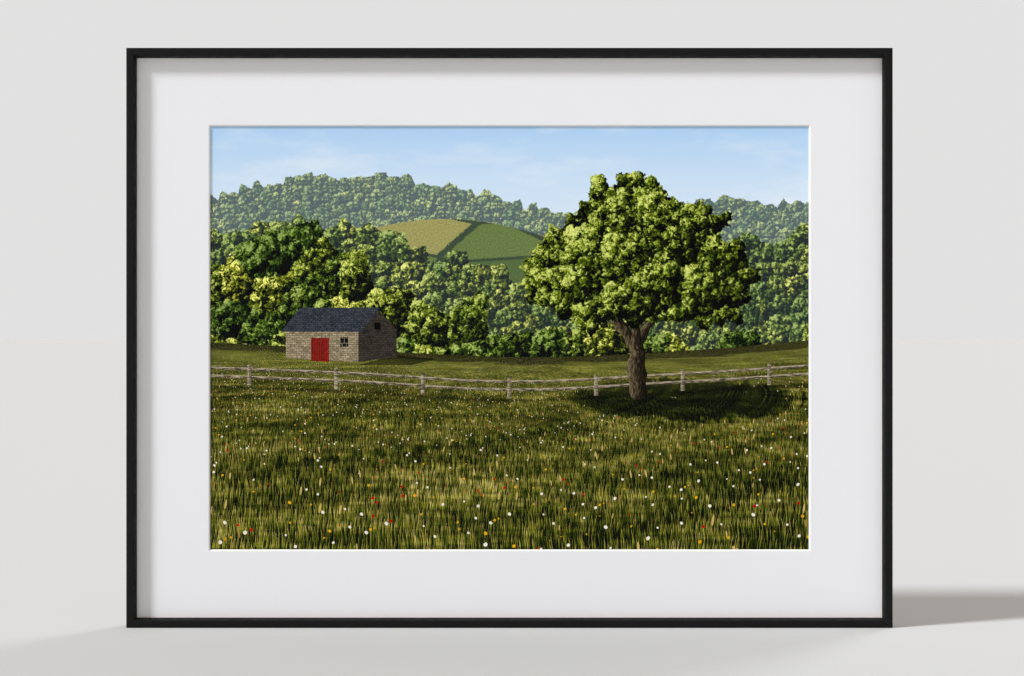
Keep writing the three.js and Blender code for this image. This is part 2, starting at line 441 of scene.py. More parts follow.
@dataclass(frozen=True)
class Grained(Finish):
    """An opaque finish whose grain tints it, lifts it and dulls it."""

    tones: Ramp  # the colours over the tint's grain
    tint: Grain  # the grain that the colours follow
    lift: Grain  # the grain that stands up from the surface
    relief: Point2  # how strongly it does, and how high in millimetres
    roughness: Point2  # the least and the most
    gloss: Grain | None = None  # the grain that the roughness follows, where it varies
    metallic: float = 0.0
    specular: float = 0.5  # the reflection seen square on, where half is common

    def shader(self, tree: Tree) -> Node:
        """Builds the grains, and the shader that they feed.

        Args:
            tree: the material's tree.

        Returns:
            The shader.
        """
        nodes: dict[Grain, Node] = {}
        for grain in (self.tint, self.lift, self.gloss):
            if grain is None or grain in nodes:
                continue
            if grain.on_rail:
                place = add(tree, "Attribute", attribute_name="rail_place").outputs["Vector"]
            else:
                place = add(tree, "TexCoord").outputs["Object"]
            scale = tuple(PER_MM / size for size in grain.size)
            laid = add(tree, "Mapping", {"Vector": place, "Scale": scale})
            noise = {"Vector": laid, "Scale": 1.0, "Detail": grain.detail, "Roughness": grain.rough}
            nodes[grain] = add(tree, "TexNoise", noise)
        strength, height = self.relief
        raised = {"Height": nodes[self.lift], "Strength": strength, "Distance": height * MM}
        relief = add(tree, "Bump", raised)
        dull: Feed = self.roughness[0]
        if self.gloss is not None:
            dull = add(tree, "MapRange", (nodes[self.gloss], *NOISE_SPAN, *self.roughness))
        feeds = {
            "Base Color": add(tree, "ValToRGB", (nodes[self.tint],), ramp=self.tones),
            "Roughness": dull,
            "Normal": relief,
            "Metallic": self.metallic,
            "Specular IOR Level": self.specular,
        }
        return add(tree, "BsdfPrincipled", feeds)


@dataclass(frozen=True)
class PictureGlass(Finish):
    """Thin float glass with a coating that takes off nearly all of its reflection.

    It gives the eye hardly anything from in front, and a soft clear sheen from the side.
    """

    name: str = "coated picture glass"
    tint: str = "#ffffff"
    head_on: float = 0.0015  # share reflected where the glass is seen square on
    edge_on: float = 0.3  # and the share added as it is seen along its face
    steepness: float = 5.0  # how late that share comes in
    roughness: float = 0.02

    def shader(self, tree: Tree) -> Node:
        """Builds the glass as a clear pane with a thin reflection.

        Args:
            tree: the material's tree.

        Returns:
            The shader.
        """
        slant = add(tree, "LayerWeight", {"Blend": 0.5}).outputs["Facing"]
        rise = add(tree, "Math", (slant, self.steepness), "POWER")
        share = add(tree, "Math", (rise, self.edge_on, self.head_on), "MULTIPLY_ADD")
        clear = add(tree, "BsdfTransparent", {"Color": self.tint})
        sheen = add(tree, "BsdfGlossy", {"Roughness": self.roughness})
        return add(tree, "MixShader", (share, clear, sheen))


@dataclass(frozen=True)
class Fibreboard(Finish):
    """Medium fibreboard, pressed smooth.

    It gives the eye an even brown sheet of fine matted fibres, with slow faint clouds and a dull polish.
    """

    name: str = "pressed fibreboard"
    tones: Ramp = ((0.2, "#6f4e31"), (0.5, "#96704a"), (0.8, "#bb9669"))
    length_mm: float = 2.6
    thickness_mm: float = 0.4
    ways: Point3 = (0.4, 1.5, 2.7)  # how the fibres are turned in each layer
    fibre_share: float = 0.62
    waviness: float = 1.6
    cloud_mm: float = 60.0
    cloud_share: float = 0.16
    level: float = -0.51  # brings the clouds and three layers of fibres to the middle of the tones
    relief: Point2 = (0.35, 0.05)  # how strongly the fibres stand up, and how high in millimetres
    roughness: float = 0.58

    def shader(self, tree: Tree) -> Node:
        """Builds the board's matted fibres.

        Args:
            tree: the material's tree.

        Returns:
            The shader.
        """
        place = add(tree, "TexCoord").outputs["Object"]
        thin = PER_MM / self.thickness_mm
        cloud = add(tree, "TexNoise", {"Vector": place, "Scale": PER_MM / self.cloud_mm, "Detail": 4.0})
        level = add(tree, "Math", (cloud, self.cloud_share, self.level), "MULTIPLY_ADD")
        for turn in self.ways:
            laid = add(tree, "Mapping", {"Vector": place, "Rotation": (0.0, turn, 0.0)})
            drawn = add(tree, "Mapping", {"Vector": laid, "Scale": (PER_MM / self.length_mm, thin, thin)})
            noise = {"Vector": drawn, "Scale": 1.0, "Detail": 3.0, "Distortion": self.waviness}
            fibres = add(tree, "TexNoise", noise)
            level = add(tree, "Math", (fibres, self.fibre_share, level), "MULTIPLY_ADD")
        strength, height = self.relief
        relief = add(tree, "Bump", {"Height": level, "Strength": strength, "Distance": height * MM})
        tone = add(tree, "ValToRGB", (level,), ramp=self.tones)
        feeds = {"Base Color": tone, "Roughness": self.roughness, "Normal": relief}
        return add(tree, "BsdfPrincipled", feeds)


def board(name: str, colour: str, shade: str, tooth_mm: float, relief_mm: float) -> Grained:
    """Makes paper, board or foam with a fine even tooth, uncoated.

    It gives the eye a dead matt surface of one even tone, a little speckled close to. A real tooth is under
    a tenth of a millimetre wide. It is drawn coarser, as it wouldn't show otherwise.

    Args:
        name: the finish's name.
        colour: its main colour.
        shade: the darker colour painted in the hollows of the tooth, as painted shade.
        tooth_mm: how wide the tooth is.
        relief_mm: how deep it is.

    Returns:
        The finish.
    """
    tooth = Grain((tooth_mm,) * 3)
    # The tooth's low points take the darker colour: painted shade in its hollows
    tones = ((0.0, shade), (1.0, colour))
    return Grained(name, tones, tooth, tooth, (0.6, relief_mm), (0.92, 0.92), specular=0.3)


# Each board's second colour is painted shade for its tooth's hollows; the floor's is the same as its first
MAT_FACE = board("white mat board, face paper", "#eeeff0", "#e9eaeb", tooth_mm=0.5, relief_mm=0.02)
MAT_CORE = board("white mat board, cut core", "#fbfaf6", "#f4f3ee", tooth_mm=0.3, relief_mm=0.04)
FOAM_BOARD = board("foam board", "#f1f0ec", "#e9e8e2", tooth_mm=0.6, relief_mm=0.03)
STUDIO_PAINT = board("pale studio floor", "#b1b1ae", "#b1b1ae", tooth_mm=3.0, relief_mm=0.0)
GLASS = PictureGlass()
BACK = Fibreboard()

# Sprayed on and rubbed down: near black, a little grey where it takes the light, with the wood's faint lines
GRAIN_UNDER_LACQUER = Grain((30.0, 0.45, 0.45), rough=0.6, on_rail=True)
LACQUER = Grained(
    name="satin black lacquer on wood",
    tones=((0.0, "#0b0b0c"), (1.0, "#141415")),
    tint=GRAIN_UNDER_LACQUER,
    lift=GRAIN_UNDER_LACQUER,
    relief=(0.35, 0.02),
    roughness=(0.396, 0.444),
    gloss=Grain((40.0, 40.0, 40.0), detail=2.0, on_rail=True),
    specular=0.16,
)

# As the back and the rebate of a moulding are left: straw-coloured, with fine darker streaks along it
PLANED_GRAIN = Grain((26.0, 0.5, 0.5), detail=4.0, rough=0.65, on_rail=True)
BARE_WOOD = Grained(
    name="bare planed hardwood",
    tones=((0.35, "#b8925f"), (0.62, "#dcc096")),
    tint=PLANED_GRAIN,
    lift=PLANED_GRAIN,
    relief=(0.5, 0.05),
    roughness=(0.72, 0.72),
)

# Bright plating, tumbled in a barrel: soft silver with a faint blue and straw bloom and fine rub marks, which
# are drawn coarser than they are, so that they show
RUB_MARKS = Grain((0.5, 0.5, 0.5), detail=4.0)
ZINC = Grained(
    name="zinc plated steel",
    tones=((0.0, "#bcc3c9"), (1.0, "#d2cdbb")),
    tint=Grain((6.0, 6.0, 6.0)),
    lift=RUB_MARKS,
    relief=(0.25, 0.03),
    roughness=(0.19, 0.37),
    gloss=RUB_MARKS,
    metallic=1.0,
)

# A soft dark grey without a shine, lightly spotted with dust
DUST = Grain((0.8, 0.8, 0.8), detail=4.0)
RUBBER = Grained(
    name="moulded black rubber",
    tones=((0.45, "#1d1d1e"), (0.8, "#343433")),
    tint=DUST,
    lift=DUST,
    relief=(0.4, 0.05),
    roughness=(0.78, 0.78),
)


@dataclass(frozen=True)
class Foliage:
    """How leaves take the light in the printed landscape, as domes of four sizes."""

    pattern_step: Point3 = (37.0, 61.0, 0.0)  # how far one unit of a wood's shift moves its pattern
    bends: float = 1.6  # how many waves an outline has in a clump's width
    bend_light: float = 0.9  # how much of the bending shows as light
    dusk: float = -0.16  # the light that all of it starts from
    tuft: float = 2.7  # how many leaves wide a tuft is
    shading: tuple[float, ...] = (0.6, 0.52, 0.4, 0.45)  # how domed a crown, a clump, a tuft and a leaf look
    spread: tuple[float, ...] = (0.0, 0.12, 0.3, 0.5)  # how much the light on each differs by chance
    glint_from: float = 0.84  # the chance number from which a leaf glints
    glint: float = 0.26
    rims: Point3 = (0.5, 0.4, 0.5)  # how much darker a clump, a tuft and a leaf are towards their rims
    lift: float = 0.2  # light added at the end
    hues: Point2 = (0.485, 0.54)  # the turn of the first and the last tree's colour, in chance order
    values: Point2 = (1.25, 0.7)  # and their brightness


@dataclass(frozen=True)
class Fence:
    """The weathered post-and-rail fence in the printed landscape, in millimetres on the print."""

    foot: tuple[Point2, ...] = ((-300, -46), (-150, -52), (0, -60), (140, -54), (300, -44))
    tones: Ramp = ((0.3, "#5d564b"), (0.5, "#9b9180"), (0.7, "#cfc6b2"))
    grain: Point2 = (0.12, 0.9)  # waves of its grain in a millimetre, across and up
    spacing: float = 43.0
    tall: float = 21.0
    post_half: float = 2.0
    post_light: float = -0.12  # how much lighter its right side is
    levels: Point2 = (9.0, 17.0)  # how high the rails lie
    rail_half: float = 1.35
    rail_light: float = 0.2  # how much lighter its upper side is
    shadow: Point3 = (0.55, 2.6, 2.0)  # its shadow's strength, half height, and drop below the foot


@dataclass(frozen=True)
class Wood:
    """One belt of trees in the printed landscape, in millimetres on the print."""

    crest: tuple[Point2, ...]  # points of its skyline, across and up from the print's middle
    crown: float  # how wide one tree stands
    clump: float  # how wide one mass of leaves is
    leaf: float  # how wide the finest speck is
    haze: float  # how much of it is lost in the air, from 0 to 1
    shift: float  # moves its pattern, so that no two belts are alike
    lift: float = 0.0  # light added all over it


@dataclass(frozen=True)
class Limb:
    """One straight length of trunk or branch: where it starts and ends, and its half width at each end."""

    start: Point2
    end: Point2
    thick: float
    thin: float


@dataclass(frozen=True)
class Face:
    """One flat face of the barn in the printed landscape, in millimetres on the print."""

    corners: tuple[Point2, ...]  # anticlockwise, across and up from the print's middle
    stone: str  # one colour of its stones, slates or planks
    other: str  # the other colour
    joint: str  # the colour of the joints
    course: Point2 = (4.4, 2.2)  # one stone's width and height
    cover: float = 1.0  # how much of what is behind it is covered


@dataclass(frozen=True)
class Stand:
    """One kind of plant in the meadow, in rows that stand one behind the other.

    Lengths are shares of how far below the skyline the plant's foot lies, so near plants come out larger.
    """

    height: float
    spacing: float  # how far apart the plants of a row are
    half: float  # a blade's or stem's half width at its foot, as a share of the spacing
    rows: float  # how many rows there are while the distance grows e times
    layers: int  # how many rows may overlap at one place
    shift: float  # moves the pattern
    head: float = 0.0  # the flower's or ear's half width, or 0 for a blade
    stretch: float = 1.0  # how many times taller than wide the head is
    chance: float = 1.0  # the share of the plants that stand
    heads: Ramp = ((0.0, "#ffffff"),)  # a head's colour at each chance number, without blending
    pattern_step: float = 17.31  # how far along the pattern each row starts from the one before
    lean: float = 0.15  # how far the tips of a row may lean, as a share of their height
    shortest: float = 0.5  # the least plant's share of the height
    tip_light: float = 0.5  # how much lighter a tip is than a foot
    own_light: float = 0.5  # how much the light on each plant may differ by chance
    head_at: float = 0.93  # where the head sits, as a share of the stem
    head_sizes: Point2 = (0.5, 1.15)  # the least and the largest head's share of the half width
    head_light: float = 0.55  # the light on a head whose stem is black
    crowding: Point2 = (3.0, 0.8)  # how plants with heads gather where the ground is light


@dataclass(frozen=True)
class MeadowPrint(Finish):
    """A landscape printed on lustre photo paper: a meadow with a barn and a lone tree below wooded hills.

    It gives the eye a bright summer picture of many greens under a pale blue sky. All of it is worked out
    from the place on the sheet. Lengths are millimetres from the picture's middle, across and up.
    """

    name: str = "landscape print on lustre paper"
    middle_z: float = 286.5
    half: Point2 = (300.0, 212.0)
    sun: Point2 = (-0.62, 0.78)  # where the light comes from in the picture
    sky: Ramp = ((0.0, "#e9f3fa"), (0.5, "#dcecf9"), (1.0, "#c6e0f7"))
    sky_from: float = 100.0
    cloud: str = "#f3f7fa"
    streaks: Point3 = (0.006, 0.022, 0.12)  # waves in a millimetre along and across a streak, and its slant
    clouded: tuple[float, ...] = (0.5, 0.75, 0.0, 0.7)  # from no cloud to the thickest
    air: str = "#bccfd6"
    leaves: Ramp = (
        (0.0, "#060903"),
        (0.2, "#141b07"),
        (0.36, "#333e10"),
        (0.52, "#5d6d1c"),
        (0.68, "#8b9b2e"),
        (0.84, "#b5c04c"),
        (1.0, "#e6ea9c"),
    )
    foliage: Foliage = Foliage()
    woods: tuple[Wood, ...] = (
        Wood(
            ((-300, 140), (-170, 162), (-40, 146), (90, 122), (200, 138), (300, 130)),
            crown=9, clump=4, leaf=1.5, haze=0.42, shift=3.1,
        ),
        Wood(
            ((-300, 104), (-190, 112), (-60, 84), (60, 62), (170, 92), (300, 108)),
            crown=17, clump=7, leaf=1.7, haze=0.13, shift=7.7,
        ),
        Wood(
            ((-300, 84), (-235, 102), (-160, 80), (-90, 30), (60, 4), (300, 16)),
            crown=36, clump=12, leaf=1.9, haze=0.02, shift=12.3, lift=-0.04,
        ),
    )
    fields_crest: tuple[Point2, ...] = ((-300, 84), (-200, 96), (-60, 118), (60, 96), (180, 74), (300, 92))
    fields: Ramp = (
        (0.0, "#7f9140"),
        (0.25, "#a3a857"),
        (0.45, "#c9bd78"),
        (0.65, "#8b9a48"),
        (0.85, "#6f8238"),
    )
    plots: Point3 = (0.012, 0.036, 0.1)  # fields in a millimetre, across and up, and their slant
    hedge: str = "#46572c"
    hedge_width: float = 0.1  # as a share of a field
    field_haze: float = 0.16
    weathering: Point2 = (0.8, 1.15)  # the least and the most light on crops and stones, by chance
    brow: tuple[Point2, ...] = ((-300, -4), (-150, -12), (20, -19), (170, -13), (300, -2))
    first_row: float = 0.5  # how far below the brow the farthest row stands
    grass: Ramp = (
        (0.12, "#11180a"),
        (0.28, "#333d14"),
        (0.44, "#5f6c22"),
        (0.6, "#919541"),
        (0.76, "#bdb364"),
        (0.92, "#e3d6a0"),
    )
    ground_light: float = -0.52
    rises: tuple[tuple[Point3, float], ...] = (((0.9, 4.0, 1.0), 0.62), ((5.0, 9.0, 1.0), 0.4))
    turf_light: float = 0.2  # how much lighter the turf is than the blades' feet
    far_grass: str = "#b4b968"
    far_haze: tuple[float, ...] = (0.0, 45.0, 0.35, 0.0)  # from the skyline to the first clear grass
    swaths: Point2 = (0.02, 0.2)  # waves in a millimetre, along and across a swath
    swath_light: Point2 = (0.72, 1.3)
    shaded_grass: str = "#171d0a"
    wood_shade: Point2 = (14.0, 1.0)  # how ragged the wood's shade is, and how far it reaches at least
    wood_shade_edge: tuple[float, ...] = (0.7, 1.0, 0.75, 0.0)  # from its full depth to its edge
    blades: Stand = Stand(height=0.11, spacing=0.0095, half=0.46, rows=30.0, layers=4, shift=0.0)
    flowers: Stand = Stand(
        height=0.15,
        spacing=0.036,
        half=0.035,
        rows=11.0,
        layers=2,
        shift=40.0,
        head=0.0085,
        chance=0.34,
        heads=((0.0, "#f2eee0"), (0.13, "#e8c22e"), (0.24, "#c9261a")),
    )
    ears: Stand = Stand(
        height=0.27,
        spacing=0.052,
        half=0.022,
        rows=7.0,
        layers=2,
        shift=80.0,
        head=0.0055,
        stretch=4.5,
        chance=0.3,
        heads=((0.0, "#d8c48a"), (0.15, "#b79c5e")),
    )
    fence: Fence = Fence()
    barn_sway: Sway = (0.5, 2.0, (0.8, 1.6))
    joint: float = 0.2
    barn: tuple[Face, ...] = (
        Face(((-150, -27), (-98, -27), (-72, -21), (-112, -17)), "#161c0a", "#161c0a", "#161c0a", cover=0.6),
        Face(((-222, -20), (-150, -24), (-150, 8), (-222, 8)), "#c9bda3", "#a89d87", "#7b7465"),
        Face(((-150, -24), (-112, -19), (-112, 8), (-131, 28), (-150, 8)), "#69635a", "#55504a", "#403d38"),
        Face(((-227, 6), (-147, 6), (-129, 30), (-208, 30)), "#6f757f", "#585d66", "#3a3d43", (3.6, 1.9)),
        Face(((-197, -23), (-179, -24), (-179, 0), (-197, 0)), "#b0473c", "#9c3c33", "#6a2520", (2.3, 60.0)),
        Face(((-168, -9), (-160, -9), (-160, 1), (-168, 1)), "#26282b", "#3b3f44", "#b9b09a", (4.1, 5.2)),
        Face(((-134, 8), (-128, 8), (-128, 15), (-134, 15)), "#141414", "#141414", "#141414"),
    )
    limb_sway: Sway = (0.05, 2.0, (9.0, 9.0))
    limbs: tuple[Limb, ...] = (
        Limb((128, -52), (126, -8), 9.5, 7.0),
        Limb((126, -10), (84, 52), 5.0, 1.6),
        Limb((127, -8), (168, 58), 5.2, 1.6),
        Limb((126, -4), (124, 96), 5.0, 1.4),
        Limb((106, 18), (58, 36), 2.6, 0.9),
        Limb((146, 22), (196, 44), 2.8, 0.9),
    )
    bark: Ramp = ((0.1, "#14110c"), (0.5, "#4c4434"), (0.9, "#a2957a"))
    bark_grain: Point2 = (0.7, 0.16)  # waves in a millimetre, across and up
    bark_light: float = 0.3  # how much lighter a limb is on its left side
    lone_tree: Wood = Wood((), crown=40, clump=13, leaf=1.8, haze=0.0, shift=21.0)
    lone_tone: float = 0.4
    lone_slope: float = 0.0022  # light that its crown gains in a millimetre towards the sun
    crown_edge: float = 1.08  # how far out its leaves reach, in ovals
    thinning: float = 0.22  # how much nearer some clumps stop
    crown_ovals: tuple[tuple[Point2, Point2], ...] = (
        ((122, 78), (84, 66)),
        ((66, 56), (58, 44)),
        ((186, 60), (60, 50)),
        ((120, 122), (56, 44)),
        ((170, 104), (48, 38)),
    )
    shadow_oval: tuple[Point2, Point2] = ((176, -62), (112, 21))
    shadow_sway: Sway = (0.09, 4.0, (34.0, 20.0))
    shadow_edge: Point2 = (1.08, 0.86)  # where the shadow starts and where it is full, in ovals
    shadow_light: float = -0.34
    contrast: float = 1.5
    lustre_mm: float = 0.4
    relief: Point2 = (0.2, 0.01)  # how strongly the lustre stands up, and how high in millimetres
    roughness: float = 0.45
    specular: float = 0.05

    def shader(self, tree: Tree) -> Node:
        """Paints the landscape and returns the paper's shader."""
        return Painting(self, tree).paper()


class Painting:
    """The landscape's layers of paint, worked out by nodes in the print's material.

    The material nearly fills the renderer's stack for open values. In another order of nodes it overflowed,
    and the print came out black.
    """

    def __init__(self, plan: MeadowPrint, tree: Tree) -> None:
        """Finds the place on the sheet.

        Args:
            plan: the landscape's sizes and colours.
            tree: the material's tree.
        """
        self.plan = plan
        self.tree = tree
        place = add(tree, "TexCoord").outputs["Object"]
        centre = (0.0, 0.0, -plan.middle_z)
        spot = add(tree, "Mapping", {"Vector": place, "Location": centre, "Scale": (PER_MM,) * 3})
        split = add(tree, "SeparateXYZ", (spot,))
        self.across, self.up = split.outputs["X"], split.outputs["Z"]
        self.flat = add(tree, "CombineXYZ", (self.across, self.up))
        self.foliage = self.foliage_group()

    def paper(self) -> Node:
        """Stacks the landscape from far to near, and prints it on the paper.

        Returns:
            The paper's shader.
        """
        tree, plan = self.tree, self.plan
        far, *nearer = plan.woods
        woods = (layer for wood in nearer for layer in self.belt(wood))
        motifs = chain(self.belt(far), self.hill(), woods, self.meadow(), self.barn(), self.lone_tree())
        printed = add(tree, "Gamma", {"Color": self.stacked(self.sky(), motifs), "Gamma": plan.contrast})
        lustre = add(tree, "TexNoise", {"Vector": self.flat, "Scale": 1 / plan.lustre_mm, "Detail": 2.0})
        strength, height = plan.relief
        feeds = {
            "Base Color": printed,
            "Roughness": plan.roughness,
            "Specular IOR Level": plan.specular,
            "Normal": add(tree, "Bump", {"Height": lustre, "Strength": strength, "Distance": height * MM}),
        }
        return add(tree, "BsdfPrincipled", feeds)

    def stacked(self, base: Feed, layers: Iterable[Layer]) -> Feed:
        """Lays layers of paint on a first one.

        Each one is mixed in as soon as it is made, so that few of them are open at once.

        Args:
            base: the first colour.
            layers: the others, in order.

        Returns:
            The colour that shows.
        """
        for share, colour in layers:
            base = add(self.tree, "Mix", (share, base, colour), data_type="RGBA")
        return base

    def swayed(self, scale: float, detail: float, push: Point2) -> tuple[Node, Node]:
        """Moves the place on the print a little to and fro.

        Args:
            scale: how many times the movement turns in a millimetre.
            detail: how many finer movements lie in it.
            push: how far it reaches, across and up.

        Returns:
            The noise behind the movement, and the moved place.
        """
        noise = {"Vector": self.flat, "Scale": scale, "Detail": detail}
        made = add(self.tree, "TexNoise", noise, noise_dimensions="2D")
        centred = add(self.tree, "VectorMath", (made.outputs["Color"], (0.5, 0.5, 0.5)), "SUBTRACT")
        feeds = (centred, (*push, 0.0), self.flat)
        return made, add(self.tree, "VectorMath", feeds, "MULTIPLY_ADD")

    def from_oval(self, place: Feed, middle: Point2, radii: Point2) -> Node:
        """Measures how far a place lies from an oval's middle.

        Args:
            place: the place on the print.
            middle: the oval's middle.
            radii: its half width and half height.

        Returns:
            The node that gives the distance, which is 1 on the oval.
        """
        local = add(self.tree, "VectorMath", (place, (*middle, 0.0)), "SUBTRACT")
        share = (1 / radii[0], 1 / radii[1], 0.0)
        squeezed = add(self.tree, "VectorMath", (local, share), "MULTIPLY")
        return add(self.tree, "VectorMath", (squeezed,), "LENGTH")

    def skyline(self, across: Feed, crest: tuple[Point2, ...]) -> Node:
        """Reads a skyline's height.

        Args:
            across: the place across the print.
            crest: the skyline's points.

        Returns:
            The node that gives the height.
        """
        width, height = self.plan.half
        share = add(self.tree, "MapRange", {"Value": across, "From Min": -width, "From Max": width})
        bends = tuple(((x / width + 1) / 2, (y / height + 1) / 2) for x, y in crest)
        line = add(self.tree, "FloatCurve", {"Value": share}, bends=bends)
        return add(self.tree, "MapRange", {"Value": line, "To Min": -height, "To Max": height})

    def sky(self) -> Node:
        """Lays the sky with thin streaks of cloud.

        Returns:
            Its colour.
        """
        tree, plan = self.tree, self.plan
        height = add(tree, "MapRange", (self.up, plan.sky_from, plan.half[1]))
        blue = add(tree, "ValToRGB", (height,), ramp=plan.sky)
        *waves, slant = plan.streaks
        streaks = {"Vector": self.flat, "Scale": (*waves, 1.0), "Rotation": (0.0, 0.0, slant)}
        drawn = add(tree, "Mapping", streaks)
        cloud = add(tree, "TexNoise", {"Vector": drawn, "Scale": 1.0, "Detail": 6.0, "Roughness": 0.6})
        share = add(tree, "MapRange", (cloud, *plan.clouded))
        return self.stacked(blue, [(share, plan.cloud)])

    def foliage_group(self) -> Tree:
        """Makes the group that lights leaves in crowns, clumps, tufts and single leaves, each as a dome.

        Returns:
            The group. It gives the light on the leaves, a chance tone for each tree, and the places of the
            crown and the clump that a spot belongs to, with a chance number for the clump.
        """
        style = self.plan.foliage
        sizes = {"Place": (), "Crown": 1.0, "Clump": 1.0, "Leaf": 1.0, "Shift": 1.0}
        results = {"Light": 1.0, "Tone": 1.0, "Crown Place": (), "Clump Place": (), "Chance": 1.0}
        tree, given = named_tree("leaves in crowns, clumps and tufts", sizes, results, "ShaderNodeTree")
        away = add(tree, "VectorMath", (style.pattern_step, given["Shift"]), "SCALE")
        moved = add(tree, "VectorMath", (given["Place"], away), "ADD")
        fineness = add(tree, "Math", (style.bends, given["Clump"]), "DIVIDE")
        noise = {"Vector": moved, "Scale": fineness, "Detail": 4.0, "Roughness": 0.7}
        wander = add(tree, "TexNoise", noise, noise_dimensions="2D")
        centred = add(tree, "VectorMath", (wander.outputs["Color"], (0.5, 0.5, 0.5)), "SUBTRACT")
        pushed = add(tree, "VectorMath", (centred, given["Clump"]), "SCALE")
        bent = add(tree, "VectorMath", (moved, pushed), "ADD")
        tuft = add(tree, "Math", (given["Leaf"], style.tuft), "MULTIPLY")
        domes = (given["Crown"], given["Clump"], tuft, given["Leaf"])
        light = add(tree, "Math", (wander, style.bend_light, style.dusk), "MULTIPLY_ADD")
        cells = []
        for size, shading, spread in zip(domes, style.shading, style.spread):
            scale = add(tree, "Math", (1.0, size), "DIVIDE")
            spots = {"Vector": bent, "Scale": scale, "Randomness": 0.95}
            cell = add(tree, "TexVoronoi", spots, voronoi_dimensions="2D")
            offset = add(tree, "VectorMath", (bent, cell.outputs["Position"]), "SUBTRACT")
            facing = add(tree, "VectorMath", (offset, (*self.plan.sun, 0.0)), "DOT_PRODUCT")
            slope = add(tree, "Math", (scale, shading), "MULTIPLY")
            light = add(tree, "Math", (facing, slope, light), "MULTIPLY_ADD")
            chance = add(tree, "SeparateXYZ", (cell.outputs["Color"],)).outputs
            light = add(tree, "Math", (chance["Y"], spread, light), "MULTIPLY_ADD")
            cells.append((cell, chance))
        # A few single leaves glint, and each clump, tuft and leaf is darker round its rim
        glint = add(tree, "Math", (chance["Z"], style.glint_from), "GREATER_THAN")
        light = add(tree, "Math", (glint, style.glint, light), "MULTIPLY_ADD")
        for (cell, _), rim in zip(cells[1:], style.rims):
            light = add(tree, "Math", (cell, -rim, light), "MULTIPLY_ADD")
        light = add(tree, "Math", (light, style.lift), "ADD")
        places = []
        for cell, _ in cells[:2]:
            places.append(add(tree, "VectorMath", (cell.outputs["Position"], away), "SUBTRACT"))
        tone, thinning = (chance["X"] for _, chance in cells[:2])
        add(tree, "NodeGroupOutput", (light, tone, *places, thinning))
        return tree

    def leaves_of(self, wood: Wood) -> Node:
        """Sets the foliage group to the sizes of a belt or a tree and returns its node."""
        sizes = (self.flat, wood.crown, wood.clump, wood.leaf, wood.shift)
        return add(self.tree, "Group", sizes, node_tree=self.foliage)

    def leaf_colour(self, light: Feed, tone: Feed, haze: float) -> Feed:
        """Colours lit leaves.

        Args:
            light: how strongly they are lit.
            tone: a chance number for each tree.
            haze: the share of air in front of them.

        Returns:
            The colour.
        """
        green = add(self.tree, "ValToRGB", (light,), ramp=self.plan.leaves)
        hue = add(self.tree, "MapRange", (tone, 0.0, 1.0, *self.plan.foliage.hues))
        value = add(self.tree, "MapRange", (tone, 0.0, 1.0, *self.plan.foliage.values))
        varied = add(self.tree, "HueSaturation", {"Color": green, "Hue": hue, "Value": value})
        return self.stacked(varied, [(haze, self.plan.air)])

    def belt(self, wood: Wood) -> Iterator[Layer]:
        """Paints one belt of trees.

        Args:
            wood: the belt.

        Yields:
            Its layer.
        """
        leaves = self.leaves_of(wood)
        heart = add(self.tree, "SeparateXYZ", (leaves.outputs["Crown Place"],))
        crest = self.skyline(heart.outputs["X"], wood.crest)
        inside = add(self.tree, "Math", (crest, heart.outputs["Y"]), "GREATER_THAN")
        lit = add(self.tree, "Math", (leaves, wood.lift), "ADD")
        yield inside, self.leaf_colour(lit, leaves.outputs["Tone"], wood.haze)

    def hill(self) -> Iterator[Layer]:
        """Paints a hill of fields with hedges between them.

        Yields:
            Its layer.
        """
        tree, plan = self.tree, self.plan
        *waves, slant = plan.plots
        slanted = {"Vector": self.flat, "Scale": (*waves, 1.0), "Rotation": (0.0, 0.0, slant)}
        laid = add(tree, "Mapping", slanted)
        plots = {"Vector": laid, "Scale": 1.0}
        fine = {"Vector": self.flat, "Scale": 0.6, "Detail": 3.0}
        ragged = add(tree, "TexNoise", fine, noise_dimensions="2D")
        field = add(tree, "TexVoronoi", plots, voronoi_dimensions="2D")
        chance = add(tree, "SeparateXYZ", (field.outputs["Color"],))
        edge = add(tree, "TexVoronoi", plots, voronoi_dimensions="2D", feature="DISTANCE_TO_EDGE")
        crop = add(tree, "ValToRGB", (chance,), ramp=plan.fields)
        mown = add(tree, "MapRange", (ragged, *NOISE_SPAN, *plan.weathering))
        shaded = add(tree, "HueSaturation", {"Color": crop, "Value": mown})
        reach = add(tree, "Math", (ragged, plan.hedge_width), "MULTIPLY")
        hedge = add(tree, "Math", (edge, reach), "LESS_THAN")
        painted = self.stacked(shaded, [(hedge, plan.hedge), (plan.field_haze, plan.air)])
        crest = self.skyline(self.across, plan.fields_crest)
        inside = add(tree, "Math", (crest, self.up), "GREATER_THAN")
        yield inside, painted

